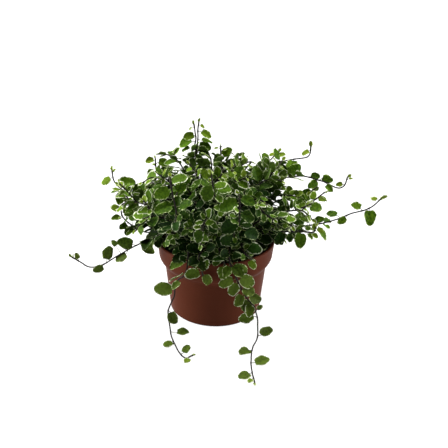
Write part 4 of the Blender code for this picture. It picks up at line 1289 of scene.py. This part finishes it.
def blade_material():
    """Green blade with an irregular pale edge, lime when young, and paler underneath. Where the mark's age
    is below 0, its greens, pale rim and cream edge are darkened towards black as painted shade.
    """
    made = Nodes("variegated leaf")
    places = made.attribute("place")
    edge, age, own = made.split(made.attribute("mark"))
    under = made.split(places)[2]
    broad = made.noise(places, 0.16, 2.0)
    patch = made.noise(places, 0.38, 3.0, 0.6)
    fine = made.noise(places, 1.3)
    # grown is 0 on blades with full painted shade and 1 on blades without it.
    grown = made.span(age, -1.0, 0.0)

    tone = made.math("ADD", made.math("MULTIPLY", own, 0.6), made.math("MULTIPLY", broad, 0.5))
    # The dark and light greens each run from a near-black painted-shade colour to the leaf's own green.
    dark = made.mix(grown, (0.0026, 0.0106, 0.0010), (0.024, 0.060, 0.0030))
    light = made.mix(grown, (0.0135, 0.040, 0.0038), (0.089, 0.172, 0.0075))
    spots = made.math("ADD", made.span(patch, 0.41, 0.59, 0.0, 0.65, smooth=True),
                      made.span(fine, 0.38, 0.66, 0.0, 0.4))
    field = made.math("ADD", made.math("MULTIPLY", spots, 0.85), made.span(tone, 0.3, 0.85, -0.25, 0.45))
    green = made.mix(made.span(field, 0.0, 1.0), dark, light)
    lime = made.mix(made.span(fine, 0.3, 0.7), (0.120, 0.180, 0.012), (0.200, 0.260, 0.022))
    ripe = made.mix(made.span(age, 0.0, 1.0, 0.0, 0.9), green, lime)

    reach = made.math("ADD", made.span(patch, 0.35, 0.65, -0.75, 0.75),
                      made.span(own, 0.0, 1.0, 0.0, 0.55))
    inward = made.math("SUBTRACT", edge, reach)
    # The pale rim also runs from a painted-shade colour to its own colour.
    rim = made.mix(grown, (0.08, 0.13, 0.035), (0.22, 0.31, 0.05))
    pale = made.mix(made.span(inward, 0.0, 0.35, smooth=True), rim, ripe)
    cream = made.mix(made.span(own, 0.6, 0.9), (0.43, 0.50, 0.24), (0.70, 0.73, 0.55))
    # Painted shade darkens the cream edge of shaded blades.
    cream = made.mix(made.span(age, -1.0, 0.0, 0.55, 0.0), cream, (0.05, 0.08, 0.03))
    upper = made.mix(made.span(inward, -0.12, 0.12, smooth=True), cream, pale)

    height = made.split(made.position())[2]
    upper = made.mix(made.span(height, 0.07, 0.09, 0.3, 0.0), upper, (0.085, 0.085, 0.022))
    lower = made.mix(0.35, upper, (0.07, 0.11, 0.03))
    rough = made.math("ADD", made.span(fine, 0.3, 0.7, 0.42, 0.56), made.math("MULTIPLY", under, 0.18))
    grain = made.bump(made.noise(places, 1.6, 4.0), 0.00018)
    return made.finish(made.mix(under, upper, lower), rough, 0.03, grain)


def stalk_material():
    made = Nodes("leaf stalk")
    patch = made.noise(made.attribute("place"), 0.35)
    return made.finish(made.mix(patch, (0.05, 0.06, 0.015), (0.12, 0.14, 0.035)), 0.5, 0.2)


def stem_material():
    """Dark brown bark, olive towards the growing tip."""
    made = Nodes("fig stem")
    places = made.attribute("place")
    age = made.split(made.attribute("mark"))[1]
    bark = made.mix(made.noise(places, 0.5, 4.0), (0.004, 0.003, 0.003), (0.014, 0.009, 0.007))
    base = made.mix(made.span(age, 0.3, 1.0), bark, (0.020, 0.022, 0.008))
    rough = made.span(made.noise(places, 1.2), 0.3, 0.7, 0.55, 0.8)
    return made.finish(base, rough, 0.15, made.bump(made.noise(places, 2.5, 4.0), 0.0002))


def pot_material():
    """Terracotta-brown plastic, satin, with a faint grain and a painted contact shadow: a dark band at the
    foot where it stands.
    """
    made = Nodes("terracotta plastic")
    where = made.position()
    broad = made.noise(where, 28.0)
    grain = made.noise(where, 900.0)
    base = made.mix(broad, (0.058, 0.0150, 0.0072), (0.073, 0.0188, 0.0095))
    base = made.mix(made.span(grain, 0.4, 0.75, 0.0, 0.06), base, (0.12, 0.045, 0.025))
    # Painted contact shadow: the lowest 1.8 mm are darkened almost to black.
    foot = made.span(made.split(where)[2], 0.0006, 0.0018, 0.85, 0.0)
    base = made.mix(foot, base, (0.008, 0.004, 0.003))
    return made.finish(base, made.span(broad, 0.3, 0.7, 0.40, 0.50), 0.012, made.bump(grain, 0.00005, 0.6))


def soil_material():
    made = Nodes("potting soil")
    where = made.position()
    base = made.mix(made.noise(where, 380.0, 4.0), (0.006, 0.004, 0.003), (0.035, 0.024, 0.016))
    return made.finish(base, 0.95, 0.5, made.bump(made.noise(where, 1500.0, 4.0), 0.0004))


def grit_material():
    made = Nodes("pale grit")
    base = made.mix(made.noise(made.position(), 700.0), (0.20, 0.19, 0.17), (0.52, 0.50, 0.46))
    return made.finish(base, 0.85, 0.5)


# --- Pot and soil ---------------------------------------------------------------------------

def eased_wall():
    """The outer wall with the hollow corner under the collar rounded."""
    wall = outer_wall(FINE_SHOULDER_STEPS)
    corner, after = Vector(wall[2]), Vector(wall[2 + EASE_STEPS])
    before = corner + (Vector(wall[1]) - corner).normalized() * EASE_REACH
    curve = []
    for k in range(2 * EASE_STEPS):
        t = k / (2 * EASE_STEPS)
        curve.append(tuple(before * (1 - t) ** 2 + corner * 2 * t * (1 - t) + after * t ** 2))
    return wall[:2] + curve + wall[2 + EASE_STEPS:]


def drain_plugs():
    """Round plugs that stand where the drain holes are cut."""
    cutter = bmesh.new()
    for k in range(DRAIN_HOLES):
        made = bmesh.ops.create_cone(cutter, cap_ends=True, segments=DRAIN_SIDES, depth=6.0 * WALL * MM,
                                     radius1=DRAIN_HOLE_RADIUS * MM, radius2=DRAIN_HOLE_RADIUS * MM)
        angle = 2.0 * math.pi * k / DRAIN_HOLES
        place = Vector((math.cos(angle), math.sin(angle), 0.0)) * DRAIN_CIRCLE_RADIUS * MM
        bmesh.ops.translate(cutter, verts=made["verts"], vec=place)
    plugs = bpy.data.meshes.new("drain_plugs")
    cutter.to_mesh(plugs)
    cutter.free()
    return plugs


def make_pot():
    """The shell, and the drain holes that are cut through its floor."""
    vertices, faces = turned(eased_wall() + inner_wall(FINE_SHOULDER_STEPS), FINE_POT_SIDES)
    shell = bpy.data.meshes.new("pot_shell")
    shell.from_pydata([Vector(v) * MM for v in vertices], [], faces)
    whole = bpy.data.objects.new("whole_pot", shell)
    holes = bpy.data.objects.new("drain_plugs", drain_plugs())
    for made in (whole, holes):
        bpy.context.scene.collection.objects.link(made)
    cut = whole.modifiers.new("drain_holes", "BOOLEAN")
    cut.operation = "DIFFERENCE"
    cut.solver = "EXACT"
    cut.object = holes
    mesh = bpy.data.meshes.new_from_object(whole.evaluated_get(bpy.context.evaluated_depsgraph_get()))
    for made in (whole, holes):
        bpy.data.objects.remove(made, do_unlink=True)
    add_piece("pot_shell", mesh, "pot", [pot_material()], sharp=35.0)


def add_soil_body(made):
    """The soil as it fills the pot, with an uneven top."""
    inside = [(radius - SOIL_GAP, z) for radius, z in inner_wall() if z < SOIL_TOP]
    profile = [(inside[-1][0], WALL + GAP)] + inside[-2::-1]
    rim = SHOULDER_RADIUS - WALL - SOIL_GAP
    top = [(rim * (1.0 - k / SOIL_RINGS), SOIL_TOP) for k in range(SOIL_RINGS)]
    vertices, faces = turned(profile + top, SOIL_SIDES)
    level = (len(profile) + 1) * SOIL_SIDES
    corners = []
    for index, v in enumerate(vertices):
        point = Vector(v)
        if index > level:
            point.z += sum(rise * noise.noise(point * pace) for rise, pace in SOIL_SWELLS) - SOIL_SINK
        corners.append(made.verts.new(point * MM))
    for face in faces:
        made.faces.new([corners[index] for index in face])


def add_crumbs(made):
    """Crumbs and pale grit, strewn over the soil's top and half sunk in it."""
    rng = random.Random("crumbs")
    for number in range(CRUMBS):
        grit = number % GRIT_EVERY == 0
        radius = CRUMB_CIRCLE * math.sqrt(rng.random())
        turn = rng.uniform(0.0, 2.0 * math.pi)
        size = rng.uniform(*GRIT_SIZE) if grit else rng.uniform(*CRUMB_SIZE) ** CRUMB_POWER
        z = SOIL_TOP + rng.uniform(*CRUMB_RISE) + size * CRUMB_LIFT
        place = Vector((radius * math.cos(turn), radius * math.sin(turn), z))
        lump = bmesh.ops.create_icosphere(made, subdivisions=1, radius=size * MM)
        squash = Vector([rng.uniform(*spread) for spread in CRUMB_SQUASH])
        for corner in lump["verts"]:
            shape = 1.0 + CRUMB_DENTS * noise.noise(corner.co / MM * CRUMB_PACE + place)
            corner.co = place * MM + corner.co * squash * shape
            for face in corner.link_faces:
                face.material_index = 1 if grit else 0


def make_soil():
    made = bmesh.new()
    add_soil_body(made)
    add_crumbs(made)
    mesh = bpy.data.meshes.new("soil_surface")
    made.to_mesh(mesh)
    made.free()
    surfaces = [soil_material(), grit_material()]
    add_piece("soil_surface", mesh, "soil", surfaces, sharp=50.0)


# --- Studio, in metres ----------------------------------------------------------------------

CAMERA_DISTANCE = 0.8
CAMERA_HEIGHT_ANGLE = 30.0
CAMERA_CENTRE_Z = 0.04
CAMERA_PITCH = 26.57
CAMERA_YAW = 0.65
CAMERA_ROLL = 1.15
CAMERA_LENS = 61.15
CAMERA_SENSOR = 36.0
FLOOR_REACH = 6.0
BACKDROP_HEIGHT = 3.0
PAPER_WHITE = 0.22
WORLD_LIGHT = 0.12
SUN_POWER = 4.2
SUN_WIDTH = 60.0
SUN_TURN = (-20.0, -6.0, 0.0)
# The two lamps: name, side (-1 is left) and power, then the place, target and size of both
LAMPS = (("left", -1, 30.0), ("right", 1, 21.0))
LAMP_PLACE = (1.1, 0.1, 0.45)
LAMP_TARGET = (0.0, 0.0, 0.08)
LAMP_SIZE = (0.5, 0.9)


def show(name, data):
    made = bpy.data.objects.new(name, data)
    bpy.context.scene.collection.objects.link(made)
    return made


def make_camera():
    camera = show("camera", bpy.data.cameras.new("camera"))
    camera.data.sensor_width = CAMERA_SENSOR
    camera.data.lens = CAMERA_LENS
    up = math.radians(CAMERA_HEIGHT_ANGLE)
    camera.location = (0.0, -CAMERA_DISTANCE * math.cos(up),
                       CAMERA_CENTRE_Z + CAMERA_DISTANCE * math.sin(up))
    turn = Matrix.Rotation(math.radians(-CAMERA_YAW), 4, "Z")
    tilt = Matrix.Rotation(math.radians(90.0 - CAMERA_PITCH), 4, "X")
    roll = Matrix.Rotation(math.radians(CAMERA_ROLL), 4, "Z")
    camera.rotation_euler = (turn @ tilt @ roll).to_euler()
    bpy.context.scene.camera = camera


def add_paper(name, points, faces, glow):
    """White matt paper that gives off light, so that it stays white in every view."""
    mesh = bpy.data.meshes.new(name)
    mesh.from_pydata(points, [], faces)
    made = Nodes(f"white {name}")
    made.put((1.0, 1.0, 1.0), made.shader.inputs["Emission Color"])
    made.put(glow, made.shader.inputs["Emission Strength"])
    mesh.materials.append(made.finish((PAPER_WHITE, PAPER_WHITE, PAPER_WHITE), 0.95, 0.0))
    piece = show(name, mesh)
    return piece


def make_studio():
    """Floor, backdrop, a faint even light, a wide soft sun overhead and a lamp on each side."""
    foot = [(x * FLOOR_REACH, y * FLOOR_REACH, 0.0) for x, y in ((-1, -1), (1, -1), (1, 1), (-1, 1))]
    head = [(x, y, BACKDROP_HEIGHT) for x, y, _ in foot]
    walls = [(k, k + 4, (k + 1) % 4 + 4, (k + 1) % 4) for k in range(4)]
    add_paper("floor", foot, [(0, 1, 2, 3)], 0.9)
    backdrop = add_paper("backdrop", foot + head, walls, 1.0)
    # Only the camera sees the backdrop, so it changes no light on the plant.
    backdrop.visible_diffuse = backdrop.visible_glossy = backdrop.visible_transmission = False
    backdrop.visible_shadow = False
    world = bpy.data.worlds.new("studio")
    world.use_nodes = True
    world.node_tree.nodes["Background"].inputs["Color"].default_value = (1.0, 1.0, 1.0, 1.0)
    world.node_tree.nodes["Background"].inputs["Strength"].default_value = WORLD_LIGHT
    bpy.context.scene.world = world
    bpy.context.scene.view_settings.view_transform = "Standard"
    sun = show("overhead", bpy.data.lights.new("overhead", "SUN"))
    sun.data.energy = SUN_POWER
    sun.data.angle = math.radians(SUN_WIDTH)
    sun.rotation_euler = [math.radians(angle) for angle in SUN_TURN]
    for name, side, power in LAMPS:
        lamp = show(name, bpy.data.lights.new(name, "AREA"))
        lamp.data.shape = "RECTANGLE"
        lamp.data.size, lamp.data.size_y = LAMP_SIZE
        lamp.data.energy = power
        lamp.location = Vector(LAMP_PLACE) * Vector((side, 1, 1))
        lamp.rotation_euler = (Vector(LAMP_TARGET) - lamp.location).to_track_quat("-Z", "Y").to_euler()


def check_against_solids(shoots):
    """Stop if the leaves grown here don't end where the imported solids' leaves do."""
    for shoot in shoots:
        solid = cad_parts[shoot.name]
        tree = KDTree(len(solid.data.vertices))
        for index, vertex in enumerate(solid.data.vertices):
            tree.insert(solid.matrix_world @ vertex.co, index)
        tree.balance()
        for stem in shoot.stems:
            for _, leaf in stem.leaves:
                if tree.find(leaf.tip * MM)[2] > TIP_TOLERANCE * MM:
                    raise RuntimeError(f"{shoot.name}: a leaf isn't where its solid is")


def main():
    noise.seed_set(NOISE_SEED)
    make_camera()
    make_studio()
    crown = Crown()
    shoots = plan_plant(crown)
    settle_leaves(shoots, crown)
    check_against_solids(shoots)
    settle_buds(shoots, crown)
    settle_fill(shoots, crown)
    surfaces = [stem_material(), stalk_material(), blade_material()]
    for shoot in shoots:
        grow(shoot, surfaces)
    make_pot()
    make_soil()


main()
